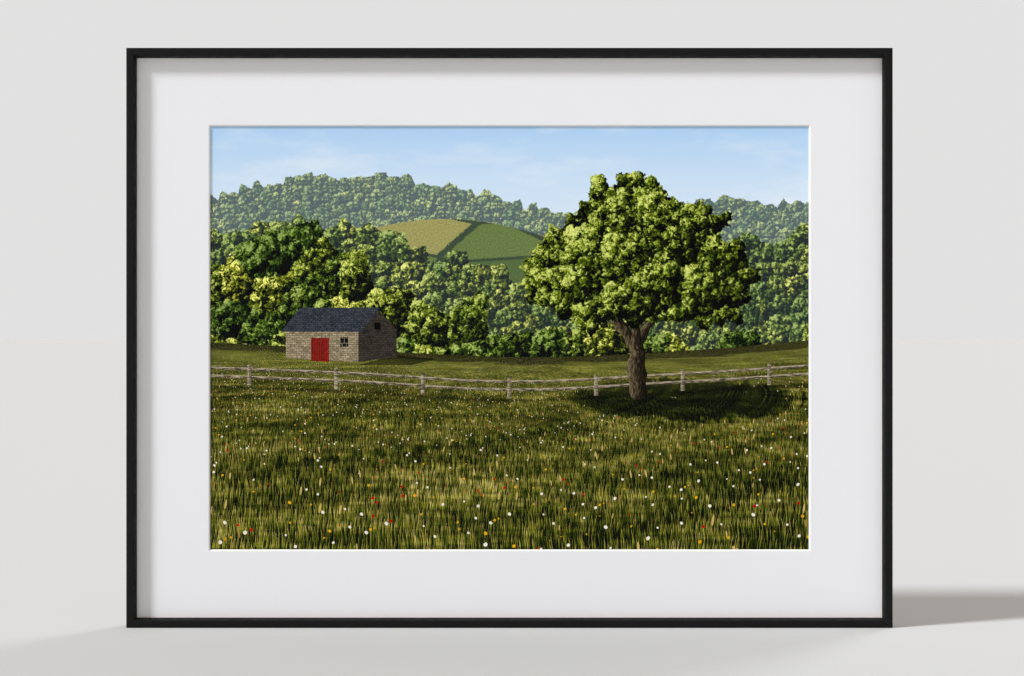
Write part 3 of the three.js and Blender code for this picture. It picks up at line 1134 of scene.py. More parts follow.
    def meadow(self) -> Iterator[Layer]:
        """Lays the meadow in perspective, with its grass, fence and flowers.

        Yields:
            Its layer.
        """
        tree, plan = self.tree, self.plan
        brow = self.skyline(self.across, plan.brow)
        nearness = add(tree, "Math", (brow, self.up), "SUBTRACT")
        safe = add(tree, "Math", (nearness, plan.first_row), "MAXIMUM")
        side = add(tree, "Math", (self.across, safe), "DIVIDE")
        depth = add(tree, "Math", (safe, math.e), "LOGARITHM")
        ground = add(tree, "CombineXYZ", (side, depth))
        light: Feed = plan.ground_light
        for scale, weight in plan.rises:
            laid = add(tree, "Mapping", {"Vector": ground, "Scale": scale})
            noise = {"Vector": laid, "Scale": 1.0, "Detail": 3.0, "Roughness": 0.6}
            rise = add(tree, "TexNoise", noise, noise_dimensions="2D")
            light = add(tree, "Math", (rise, weight, light), "MULTIPLY_ADD")
        light = add(tree, "Math", (self.shade(), plan.shadow_light, light), "MULTIPLY_ADD")
        foot = add(tree, "Math", (light, plan.turf_light), "ADD")
        turf = add(tree, "ValToRGB", (foot,), ramp=plan.grass)
        grassy = self.stacked(turf, self.rows(plan.blades, safe, light))
        hazy = add(tree, "MapRange", (nearness, *plan.far_haze))
        sward = self.stacked(grassy, [(hazy, plan.far_grass)])
        # Long swaths differ in tone, and the wood's own shade lies ragged along its edge
        drawn = add(tree, "Mapping", {"Vector": self.flat, "Scale": (*plan.swaths, 1.0)})
        swath = add(tree, "TexNoise", {"Vector": drawn, "Scale": 1.0, "Detail": 5.0}, noise_dimensions="2D")
        patchy = add(tree, "MapRange", (swath, *NOISE_SPAN, *plan.swath_light))
        toned = add(tree, "HueSaturation", {"Color": sward, "Value": patchy})
        ragged = add(tree, "Math", (swath, *plan.wood_shade), "MULTIPLY_ADD")
        under = add(tree, "Math", (nearness, ragged), "DIVIDE")
        shaded = add(tree, "MapRange", (under, *plan.wood_shade_edge))
        plants = (layer for stand in (plan.flowers, plan.ears) for layer in self.rows(stand, safe, light))
        painted = self.stacked(toned, chain([(shaded, plan.shaded_grass)], self.fence(), plants))
        inside = add(tree, "Math", (nearness, 0.0), "GREATER_THAN")
        yield inside, painted

    def rows(self, stand: Stand, nearness: Node, light: Feed) -> Iterator[Layer]:
        """Sets rows of one kind of plant on the meadow, the far rows first.

        Args:
            stand: the kind of plant.
            nearness: how far below the skyline the place lies.
            light: the light on the ground there.

        Yields:
            The blades or stems of each row, and then its flowers or ears.
        """
        tree, plan = self.tree, self.plan
        depth = add(tree, "Math", (nearness, math.e), "LOGARITHM")
        counted = add(tree, "Math", (depth, stand.rows), "MULTIPLY")
        first = add(tree, "Math", (counted,), "CEIL")
        amount: Feed = stand.chance
        if stand.head:
            patch = add(tree, "Math", (light, *stand.crowding), "MULTIPLY_ADD", use_clamp=True)
            amount = add(tree, "Math", (patch, stand.chance), "MULTIPLY")
        for layer in range(stand.layers):
            row = add(tree, "Math", (first, float(layer)), "ADD")
            foot_depth = add(tree, "Math", (row, 1 / stand.rows), "MULTIPLY")
            foot = add(tree, "Math", (foot_depth,), "EXPONENT")
            ratio = add(tree, "Math", (nearness, foot), "DIVIDE")
            raised = add(tree, "Math", (1.0, ratio), "SUBTRACT")
            share = add(tree, "Math", (raised, 1 / stand.height), "MULTIPLY")
            side = add(tree, "Math", (self.across, foot), "DIVIDE")
            # Each row starts elsewhere in the pattern, and leans a little
            start = add(tree, "Math", (row, stand.pattern_step, stand.shift), "MULTIPLY_ADD")
            sway = add(tree, "Math", (start,), "SINE")
            bow = add(tree, "Math", (share, share), "MULTIPLY")
            lean = add(tree, "Math", (sway, bow), "MULTIPLY")
            bent = add(tree, "Math", (lean, stand.lean * stand.height, side), "MULTIPLY_ADD")
            along = add(tree, "Math", (bent, 1 / stand.spacing, start), "MULTIPLY_ADD")
            plant = add(tree, "TexVoronoi", {"W": along, "Scale": 1.0}, voronoi_dimensions="1D")
            chance = add(tree, "SeparateXYZ", (plant.outputs["Color"],)).outputs
            tall = add(tree, "MapRange", (chance["Y"], 0.0, 1.0, stand.shortest, 1.0))
            risen = add(tree, "Math", (share, tall), "DIVIDE")
            width = add(tree, "Math", (risen, -stand.half, stand.half), "MULTIPLY_ADD")
            inside = add(tree, "Math", (plant, width), "LESS_THAN")
            present = add(tree, "Math", (chance["Z"], amount), "LESS_THAN")
            blade = add(tree, "Math", (inside, present), "MULTIPLY")
            # Blades are dark at the foot and catch the light at the tip
            tip = add(tree, "Math", (risen, stand.tip_light, light), "MULTIPLY_ADD")
            own = add(tree, "Math", (chance["X"], stand.own_light, tip), "MULTIPLY_ADD")
            yield blade, add(tree, "ValToRGB", (own,), ramp=plan.grass)
            if stand.head == 0.0:
                continue
            from_head = add(tree, "Math", (risen, stand.head_at), "SUBTRACT")
            above = add(tree, "Math", (from_head, tall), "MULTIPLY")
            rise = add(tree, "Math", (above, stand.height / stand.stretch), "MULTIPLY")
            beside = add(tree, "Math", (plant, stand.spacing), "MULTIPLY")
            from_middle = add(tree, "CombineXYZ", (beside, rise))
            reach = add(tree, "VectorMath", (from_middle,), "LENGTH")
            least, most = stand.head_sizes
            size = add(tree, "MapRange", (chance["X"], 0.0, 1.0, least * stand.head, most * stand.head))
            within = add(tree, "Math", (reach, size), "LESS_THAN")
            shown = add(tree, "Math", (within, present), "MULTIPLY")
            petal = add(tree, "ValToRGB", (chance["Z"],), ramp=stand.heads)
            petal.color_ramp.interpolation = "CONSTANT"
            glow = add(tree, "Math", (own, 1.0, stand.head_light), "MULTIPLY_ADD", use_clamp=True)
            yield shown, add(tree, "HueSaturation", {"Color": petal, "Value": glow})

    def fence(self) -> Iterator[Layer]:
        """Stands a weathered post-and-rail fence across the meadow.

        Yields:
            Its shadow in the grass, its two rails and its posts.
        """
        tree, fence = self.tree, self.plan.fence
        strength, reach, drop = fence.shadow
        foot = self.skyline(self.across, fence.foot)
        risen = add(tree, "Math", (self.up, foot), "SUBTRACT")
        worn = add(tree, "Mapping", {"Vector": self.flat, "Scale": (*fence.grain, 1.0)})
        grain = add(tree, "TexNoise", {"Vector": worn, "Scale": 1.0, "Detail": 3.0}, noise_dimensions="2D")
        from_foot = add(tree, "Math", (risen, drop), "ADD")
        spread = add(tree, "Math", (from_foot,), "ABSOLUTE")
        yield add(tree, "MapRange", (spread, 0.0, reach, strength, 0.0)), self.plan.shaded_grass
        posts = add(tree, "Math", (self.across, fence.spacing, -fence.spacing), "WRAP")
        sagged = add(tree, "Math", (grain, 1.0, risen), "MULTIPLY_ADD")
        # Each part's offset from its middle line, its half width, and how much the offset lights it
        parts = []
        for level in fence.levels:
            offset = add(tree, "Math", (sagged, level), "SUBTRACT")
            parts.append((offset, fence.rail_half, fence.rail_light))
        parts.append((posts, fence.post_half, fence.post_light))
        for offset, half, turn in parts:
            away = add(tree, "Math", (offset,), "ABSOLUTE")
            inside = add(tree, "Math", (away, half), "LESS_THAN")
            if offset is posts:
                for limit, how in ((fence.tall, "LESS_THAN"), (0.0, "GREATER_THAN")):
                    within = add(tree, "Math", (risen, limit), how)
                    inside = add(tree, "Math", (inside, within), "MULTIPLY")
            lit = add(tree, "Math", (offset, turn / half, grain), "MULTIPLY_ADD")
            yield inside, add(tree, "ValToRGB", (lit,), ramp=fence.tones)

    def shade(self) -> Node:
        """Casts the lone tree's shadow on the meadow.

        Returns:
            The node that gives it, from 0 in the sun to 1.
        """
        moved = self.swayed(*self.plan.shadow_sway)[1]
        reach = self.from_oval(moved, *self.plan.shadow_oval)
        return add(self.tree, "MapRange", (reach, *self.plan.shadow_edge))

    def barn(self) -> Iterator[Layer]:
        """Builds the stone barn at the wood's edge.

        Yields:
            Each of its faces, from its shadow to its windows.
        """
        tree, plan = self.tree, self.plan
        ragged, worn = self.swayed(*plan.barn_sway)
        weather = add(tree, "MapRange", (ragged, *NOISE_SPAN, *plan.weathering))
        for face in plan.barn:
            depth: Feed = FAR
            for near, far in zip(face.corners, (*face.corners[1:], face.corners[0])):
                run = (Vector(far) - Vector(near)).normalized()
                inward = Vector((-run.y, run.x))
                reach = add(tree, "VectorMath", (worn, (*inward, 0.0)), "DOT_PRODUCT")
                into = add(tree, "Math", (reach, inward.dot(Vector(near))), "SUBTRACT")
                depth = add(tree, "Math", (into, depth), "MINIMUM")
            inside = add(tree, "Math", (depth, 0.0), "GREATER_THAN")
            share = add(tree, "Math", (inside, face.cover), "MULTIPLY")
            width, height = face.course
            sizes = {"Scale": 1.0, "Mortar Size": plan.joint, "Brick Width": width, "Row Height": height}
            colours = {"Color1": face.stone, "Color2": face.other, "Mortar": face.joint}
            wall = add(tree, "TexBrick", {"Vector": worn, **sizes, **colours})
            yield share, add(tree, "HueSaturation", {"Color": wall, "Value": weather})

    def limb(self, bent: Node, limb: Limb) -> Layer:
        """Paints one length of trunk or branch.

        Args:
            bent: the place on the print, a little bent.
            limb: the length.

        Returns:
            Its layer.
        """
        tree = self.tree
        run = Vector(limb.end) - Vector(limb.start)
        over = Vector((-run.y, run.x)).normalized()
        pace = (*(run / run.length_squared), 0.0)
        from_start = add(tree, "VectorMath", (bent, (*limb.start, 0.0)), "SUBTRACT")
        share = add(tree, "VectorMath", (from_start, pace), "DOT_PRODUCT")
        kept = add(tree, "Clamp", {"Value": share})
        nearest = add(tree, "VectorMath", ((*run, 0.0), kept), "SCALE")
        apart = add(tree, "VectorMath", (from_start, nearest), "DISTANCE")
        width = add(tree, "Math", (kept, limb.thin - limb.thick, limb.thick), "MULTIPLY_ADD")
        inside = add(tree, "Math", (apart, width), "LESS_THAN")
        aside = add(tree, "VectorMath", (from_start, (*over, 0.0)), "DOT_PRODUCT")
        round_it = add(tree, "Math", (aside, width), "DIVIDE")
        rough = add(tree, "Mapping", {"Vector": bent, "Scale": (*self.plan.bark_grain, 1.0)})
        bark = add(tree, "TexNoise", {"Vector": rough, "Scale": 1.0, "Detail": 4.0}, noise_dimensions="2D")
        lit = add(tree, "Math", (round_it, self.plan.bark_light, bark), "MULTIPLY_ADD")
        return inside, add(tree, "ValToRGB", (lit,), ramp=self.plan.bark)

    def lone_tree(self) -> Iterator[Layer]:
        """Paints the lone broadleaf tree.

        Yields:
            Its limbs, and then its leaves over them.
        """
        tree, plan = self.tree, self.plan
        bent = self.swayed(*plan.limb_sway)[1]
        for limb in plan.limbs:
            yield self.limb(bent, limb)
        leaves = self.leaves_of(plan.lone_tree)
        reach: Feed = FAR
        for middle, radii in plan.crown_ovals:
            near = self.from_oval(leaves.outputs["Clump Place"], middle, radii)
            reach = add(tree, "Math", (near, reach), "MINIMUM")
        # Clumps drop out by chance near the crown's edge
        chance = leaves.outputs["Chance"]
        thinned = add(tree, "Math", (chance, plan.thinning, reach), "MULTIPLY_ADD")
        inside = add(tree, "Math", (thinned, plan.crown_edge), "LESS_THAN")
        middle = plan.crown_ovals[0][0]
        from_middle = add(tree, "VectorMath", (self.flat, (*middle, 0.0)), "SUBTRACT")
        facing = add(tree, "VectorMath", (from_middle, (*plan.sun, 0.0)), "DOT_PRODUCT")
        lit = add(tree, "Math", (facing, plan.lone_slope, leaves), "MULTIPLY_ADD")
        yield inside, self.leaf_colour(lit, plan.lone_tone, 0.0)


PRINT = MeadowPrint()


class Side(Enum):
    """The four sides of the frame: the turn about Y from the top, and whether it is a long one."""

    TOP = (0.0, True)
    BOTTOM = (math.pi, True)
    LEFT = (-math.pi / 2, False)
    RIGHT = (math.pi / 2, False)

    @property
    def label(self) -> str:
        """The side's name."""
        return self.name.lower()

    @property
    def turn(self) -> float:
        """The side's turn about Y, in radians."""
        return self.value[0]

    @property
    def long(self) -> bool:
        """Whether it is one of the two long sides."""
        return self.value[1]


@dataclass
class Outer:
    """The frame's outside, and where its front and back lie."""

    width: float = 757.0
    height: float = 573.0
    front: float = -12.0
    back: float = 12.0

    def length(self, side: Side) -> float:
        """The length of a side's rail."""
        return self.width if side.long else self.height

    def edge_middle(self, side: Side, inward: float) -> Point2:
        """Finds the middle of a side's rail.

        Args:
            side: the side.
            inward: how far in from the outer edge.

        Returns:
            The place across and up.
        """
        reach = (self.height if side.long else self.width) / 2 - inward
        return (math.sin(side.turn) * reach, self.height / 2 + math.cos(side.turn) * reach)


OUTER = Outer()


@dataclass
class Moulding:
    """The four mitred rails of the slim moulding."""

    face: float = 9.5
    depth: float = 24.0
    wall: float = 5.5
    lip: float = 6.0
    flat: float = 7.3
    sight_edge: float = 1.2
    arris: float = 0.5
    band: float = 3.2  # the outer part of the face falls away a little
    band_drop: float = 0.18
    band_round: float = 1.2
    sight_round: float = 0.3
    rebate_arris: float = 0.25
    back_arris: float = 0.35
    mitre_gap: float = 0.06
    lacquer_overlap: float = 0.05  # how far the lacquer stops short of the rebate's step
    wall_overlap: float = 0.2  # how far it runs round the back's outer edge
    screw_spacing: float = 190.0
    screws_long: int = 4
    screws_short: int = 3
    pilot_radius: float = 1.6
    pilot_depth: float = 11.0
    pilot_sides: int = 16

    def screws(self, side: Side) -> int:
        """How many screws a side's rail takes."""
        return self.screws_long if side.long else self.screws_short

    def section(self) -> list[Point2]:
        """Draws the section.

        Returns:
            Points in the profile's own plane: it lies so that its first coordinate runs to the front
            and its second inwards from the rail's outer edge.
        """
        corners = (
            (0, self.band_drop, self.arris),
            (self.band, 0, self.band_round),
            (self.flat, 0, self.arris),
            (self.face, self.lip - self.sight_edge, self.sight_round),
            (self.face, self.lip, 0),
            (self.wall, self.lip, 0),
            (self.wall, self.depth, self.rebate_arris),
            (0, self.depth, self.back_arris),
        )
        return [(-(OUTER.front + back), inward) for inward, back in rounded(corners)]

    def tree(self, inputs: dict[str, object]) -> Tree:
        """Makes the tree that sweeps, mitres, drills and places one rail.

        Args:
            inputs: one rail's inputs, whose names and kinds the tree takes.

        Returns:
            The tree. Before it is placed, a rail runs along X with its outer edge at Z = 0.
        """
        tree, given = named_tree("mitred rail", inputs)
        half = add(tree, "Math", (given["Length"], 0.5), "MULTIPLY")
        start = add(tree, "CombineXYZ", (add(tree, "Math", (half, -1.0), "MULTIPLY"),))
        end = add(tree, "CombineXYZ", (half,))
        line = add(tree, "GeometryNodeCurvePrimitiveLine", {"Start": start, "End": end})
        section = add(tree, "GeometryNodeObjectInfo", (given["Section"],)).outputs["Geometry"]
        swept = {"Curve": line, "Profile Curve": section, "Fill Caps": True}
        bar = add(tree, "GeometryNodeCurveToMesh", swept)
        spot = add(tree, "SeparateXYZ", (add(tree, "GeometryNodeInputPosition"),)).outputs
        end_sign = add(tree, "Math", (spot["X"],), "SIGN")
        shortening = add(tree, "Math", (spot["Z"], given["Mitre Gap"]), "SUBTRACT")
        shear = add(tree, "Math", (end_sign, shortening), "MULTIPLY")
        offset = add(tree, "CombineXYZ", (shear,))
        mitred = add(tree, "GeometryNodeSetPosition", {"Geometry": bar, "Offset": offset})
        stored = {
            "Geometry": self.drilled(tree, given, mitred),
            "Name": "rail_place",
            "Value": add(tree, "GeometryNodeInputPosition"),
        }
        kept = add(tree, "GeometryNodeStoreNamedAttribute", stored, data_type="FLOAT_VECTOR", domain="POINT")
        moved = {
            "Geometry": self.lacquered(tree, given, kept),
            "Translation": given["Place"],
            "Rotation": add(tree, "CombineXYZ", {"Y": given["Turn"]}),
        }
        real = add(tree, "GeometryNodeRealizeInstances", (add(tree, "GeometryNodeTransform", moved),))
        add(tree, "NodeGroupOutput", (real,))
        return tree

    def drilled(self, tree: Tree, given: Given, rail: Node) -> Node:
        """Drills the screws' pilot holes in the rail's back.

        Args:
            tree: the rail's tree.
            given: the tree's inputs.
            rail: the node that gives the rail.

        Returns:
            The node that gives the drilled rail.
        """
        between = add(tree, "Math", (given["Screw Count"], 1.0), "SUBTRACT")
        run = add(tree, "Math", (between, given["Screw Spacing"]), "MULTIPLY")
        first = add(tree, "Math", (run, -0.5), "MULTIPLY")
        in_wall = add(tree, "Math", (given["Wall"], -0.5), "MULTIPLY")
        start = add(tree, "CombineXYZ", (first, given["Back"], in_wall))
        pace = add(tree, "CombineXYZ", (given["Screw Spacing"],))
        row = {"Count": given["Screw Count"], "Start Location": start, "Offset": pace}
        twice = add(tree, "Math", (given["Pilot Depth"], 2.0), "MULTIPLY")
        bit = {"Vertices": self.pilot_sides, "Radius": given["Pilot Radius"], "Depth": twice}
        holes = {
            "Points": add(tree, "GeometryNodeMeshLine", row),
            "Instance": add(tree, "GeometryNodeMeshCylinder", bit),
            "Rotation": (math.pi / 2, 0.0, 0.0),
        }
        bits = add(tree, "GeometryNodeRealizeInstances", (add(tree, "GeometryNodeInstanceOnPoints", holes),))
        return add(tree, "GeometryNodeMeshBoolean", (rail, bits), "DIFFERENCE")

    def lacquered(self, tree: Tree, given: Given, rail: Node) -> Node:
        """Puts lacquer on what shows and leaves the back and the rebate bare.

        Args:
            tree: the rail's tree.
            given: the tree's inputs.
            rail: the node that gives the rail.

        Returns:
            The node that gives the rail with its two materials.
        """
        black = add(tree, "GeometryNodeSetMaterial", {"Geometry": rail, "Material": given["Lacquer"]})
        spot = add(tree, "SeparateXYZ", (add(tree, "GeometryNodeInputPosition"),)).outputs
        behind = add(tree, "FunctionNodeCompare", (spot["Y"], given["Rebate From"]), "GREATER_THAN")
        edge = -self.wall_overlap * MM
        inside = add(tree, "FunctionNodeCompare", (spot["Z"], edge), "LESS_THAN")
        bare = add(tree, "FunctionNodeBooleanMath", (behind, inside), "AND")
        return add(tree, "GeometryNodeSetMaterial", (black, bare, given["Bare Wood"]))

    def build(self) -> None:
        """Builds the four rails."""
        section = curve_from("moulding_section", self.section(), closed=True)
        tree = None
        for side in Side:
            x, z = OUTER.edge_middle(side, 0.0)
            inputs = {
                "Section": section,
                "Length": OUTER.length(side) * MM,
                "Mitre Gap": self.mitre_gap * MM,
                "Rebate From": (OUTER.front + self.lip - self.lacquer_overlap) * MM,
                "Turn": side.turn,
                "Place": (x * MM, 0.0, z * MM),
                "Screw Count": self.screws(side),
                "Screw Spacing": self.screw_spacing * MM,
                "Pilot Radius": self.pilot_radius * MM,
                "Pilot Depth": self.pilot_depth * MM,
                "Wall": self.wall * MM,
                "Back": OUTER.back * MM,
                "Lacquer": LACQUER.material(),
                "Bare Wood": BARE_WOOD.material(),
            }
            tree = tree or self.tree(inputs)
            rail = grown(f"moulding_{side.label}", tree, inputs)
            seat(rail, STILL, "moulding", f"rail_{side.label}")
        discard(section)


@dataclass
class Sheets:
    """The glass, the mat, the print, the foam board and the back."""

    window: Point2 = (594.0, 420.0)
    sheet: Point2 = (745.0, 561.0)
    mat_front: float = -3.4
    mat_back: float = -2.0
    arris: float = 0.15

    def mat(self) -> None:
        """Builds the mat: its bevelled window shows the core of the board."""
        (width, height), (window_w, window_h) = self.sheet, self.window
        spread = 2 * (self.mat_back - self.mat_front)
        inset = 2 * self.arris
        outlines = (
            (width - inset, height - inset, self.mat_front),
            (width, height, self.mat_front + self.arris),
            (width, height, self.mat_back),
            (window_w, window_h, self.mat_back),
            (window_w + spread, window_h + spread, self.mat_front),
        )
        build = bmesh.new()
        loops = []
        for w, h, y in outlines:
            corners = ((-w, -h), (w, -h), (w, h), (-w, h))
            points = [(x / 2 * MM, y * MM, (OUTER.height + z) / 2 * MM) for x, z in corners]
            loops.append([build.verts.new(point) for point in points])
        for k, (near, far) in enumerate(zip(loops, loops[1:] + loops[:1])):
            for i in range(4):
                strip = build.faces.new((near[i], near[(i + 1) % 4], far[(i + 1) % 4], far[i]))
                strip.material_index = 1 if k == 3 else 0
        bmesh.ops.recalc_face_normals(build, faces=build.faces)
        mat = object_from("mat", build)
        mat.data.shade_flat()
        mat.data.materials.append(MAT_FACE.material())
        mat.data.materials.append(MAT_CORE.material())
        seat(mat, STILL, "mat", "mat_board")

    def build(self) -> None:
        """Builds the mat and dresses the other sheets, whose shape is right as it is."""
        self.mat()
        dress("glazing", GLASS.material())
        dress("print_sheet", PRINT.material())
        dress("filler_board", FOAM_BOARD.material())
        dress("backing_board", BACK.material())


class Copier:
    """Sets a small part on each of a number of places, through one Geometry Nodes tree."""

    def __init__(self) -> None:
        """Starts without a tree, as its sockets come from the first inputs."""
        self.tree: Tree | None = None

    def set_out(
        self,
        name: str,
        places: list[tuple[float, ...]],
        part: Thing,
        finish: Finish,
        spin: float = 0.0,
        seed: int = 0,
    ) -> Thing:
        """Sets copies of a part on places, in one piece.

        Args:
            name: the piece's name.
            places: each place's coordinates in millimetres and its turn about Y.
            part: the part.
            finish: what it is finished in.
            spin: the most that a copy is turned besides, by chance, in radians.
            seed: the seed of the chance.

        Returns:
            The piece.
        """
        spots = places_from(places)
        inputs = {"Places": spots, "Part": part, "Most Spin": spin, "Seed": seed, "Finish": finish.material()}
        self.tree = self.tree or self.copies(inputs)
        piece = grown(name, self.tree, inputs)
        discard(spots)
        return piece

    def copies(self, inputs: dict[str, object]) -> Tree:
        """Makes the tree.

        Args:
            inputs: the inputs of one piece, whose names and kinds the tree takes.

        Returns:
            The tree.
        """
        tree, given = named_tree("copies on places", inputs)
        turn = add(tree, "GeometryNodeInputNamedAttribute", {"Name": "turn"}, data_type="FLOAT")
        spin = {"Max": given["Most Spin"], "Seed": given["Seed"]}
        chance = add(tree, "FunctionNodeRandomValue", spin, data_type="FLOAT")
        whole = add(tree, "Math", (turn, chance), "ADD")
        copied = {
            "Points": add(tree, "GeometryNodeObjectInfo", (given["Places"],)).outputs["Geometry"],
            "Instance": add(tree, "GeometryNodeObjectInfo", (given["Part"],)).outputs["Geometry"],
            "Rotation": add(tree, "CombineXYZ", {"Y": whole}),
        }
        real = add(tree, "GeometryNodeRealizeInstances", (add(tree, "GeometryNodeInstanceOnPoints", copied),))
        dressed = add(tree, "GeometryNodeSetMaterial", {"Geometry": real, "Material": given["Finish"]})
        add(tree, "NodeGroupOutput", (dressed,))
        return tree


@dataclass
class Fastenings:
    """The turn buttons that hold the back, and the pan-head screw that each one turns on."""

    copier: Copier
    moulding: Moulding
    seat_gap: float = 0.3
    thickness: float = 1.2
    radius: float = 3.0
    reach: float = 15.0
    bore: float = 1.6
    bore_sides: int = 20
    edge: float = 0.22
    rib_start: float = 4.2
    rib_end: float = 15.4
    rib_half: float = 0.95
    rib_height: float = 0.55
    rib_root: float = 0.3  # how deep the rib starts inside the button
    head_gap: float = 0.2
    head_radius: float = 2.6
    head_height: float = 1.6
    rim: float = 0.45
    shank_radius: float = 1.3
    shank_length: float = 12.0
    point: float = 2.0
    recess: Point3 = (2.9, 0.62, 0.95)  # length, width and depth of its cross
    screw_sides: int = 28
    most_spin: float = math.pi
    seed: int = 11

    def places(self) -> dict[str, tuple[float, ...]]:
        """Lists the screws.

        Returns:
            For each label the place of its hole on the frame's back, and the button's turn.
        """
        found = {}
        for side in Side:
            count = self.moulding.screws(side)
            x, z = OUTER.edge_middle(side, self.moulding.wall / 2)
            for k in range(count):
                along = (k - (count - 1) / 2) * self.moulding.screw_spacing
                spot = (x + along, z) if side.long else (x, z + along)
                found[f"{side.label}_{k + 1}"] = (spot[0], OUTER.back, spot[1], side.turn)
        return found

    def button(self) -> Thing:
        """Stamps one button, with its hole at the origin, its tail down and its front face at Y = 0.

        Returns:
            The button.
        """
        steps = 10
        e, t = self.edge, self.thickness
        rings = []
        for inset, y in ((e, 0.0), (0.0, e), (0.0, t - e), (e, t)):
            radius = self.radius - inset
            ring = []
            for top, start in ((0.0, 0.0), (-self.reach, math.pi)):
                for k in range(steps + 1):
                    angle = start + math.pi * k / steps
                    ring.append(Vector((radius * math.cos(angle), y, top + radius * math.sin(angle))))
            rings.append(ring)
        button = skinned("button_part", rings)
        below, above = -1.0, 3.0
        drill = ((0, below), (self.bore, below), (self.bore, above), (0, above))
        cut_with(button, turned("hole", drill, self.bore_sides), "DIFFERENCE")
        cut_with(button, self.rib(), "UNION")
        return button

    def rib(self) -> Thing:
        """Presses the low rib along a button's tail.

        Returns:
            The rib, with both its ends rounded off.
        """
        steps, sides = 5, 8
        least = 0.12  # the outermost ring's share of the full section
        fullness = 0.8
        root = self.thickness - self.rib_root
        rings = []
        for place, sign in ((self.rib_start, 1), (self.rib_end, -1)):
            for k in range(steps + 1)[::sign]:
                quarter = math.pi / 2 * k / steps
                lift = math.sin(math.pi / 2 * (least + (1 - least) * k / steps))
                z = place + sign * self.rib_half * (1 - math.cos(quarter))
                rise = (self.rib_height + self.rib_root) * lift * fullness
                ring = []
                for i in range(sides + 1):
                    angle = math.pi * i / sides
                    across = self.rib_half * lift * math.cos(angle)
                    ring.append(Vector((across, root + rise * math.sin(angle), -z)))
                rings.append(ring)
        return skinned("rib", rings)

    def screw(self) -> Thing:
        """Turns one screw, with its head's underside at Y = 0, and presses the cross in its head.

        Returns:
            The screw.
        """
        r, h = self.head_radius, self.head_height
        dome = ((1.0, self.rim / h), (0.95, 0.52), (0.84, 0.74), (0.64, 0.9), (0.36, 0.98), (0.0, 1.0))
        profile = (
            (0, -self.shank_length),
            (self.shank_radius, self.point - self.shank_length),
            (self.shank_radius, 0),
            (r - 0.1, 0),
            (r, 0.1),
            *((r * out, h * up) for out, up in dome),
        )
        screw = turned("screw_part", profile, self.screw_sides)
        length, width, depth = self.recess
        floor_share, mouth_share, above = 0.45, 1.05, 0.3
        for turn in (0.0, math.pi / 2):
            spin = Matrix.Rotation(turn, 3, "Y")
            rings = []
            for y, shrink in ((h - depth, floor_share), (h + above, mouth_share)):
                x, z = length / 2 * shrink, width / 2 * (0.75 + 0.25 * shrink)
                rings.append([spin @ Vector((a, y, b)) for a, b in ((-x, -z), (x, -z), (x, z), (-x, z))])
            cut_with(screw, skinned("slot", rings), "DIFFERENCE")
        return screw

    def build(self) -> None:
        """Builds every button on its own body, and the screws as one piece."""
        places = self.places()
        button = self.button()
        for label, (x, y, z, turn) in places.items():
            spot = (x, y + self.seat_gap, z, turn)
            piece = self.copier.set_out(f"turn_button_{label}", [spot], button, ZINC)
            seat(piece, f"button_{label}", "zinc", f"button_{label}")
        screw = self.screw()
        rise = self.seat_gap + self.thickness + self.head_gap
        spots = [(x, y + rise, z, 0.0) for x, y, z, _ in places.values()]
        screws = self.copier.set_out("pan_head_screws", spots, screw, ZINC, self.most_spin, self.seed)
        seat(screws, STILL, "zinc", *(f"screw_{label}" for label in places))
        discard(button, screw)


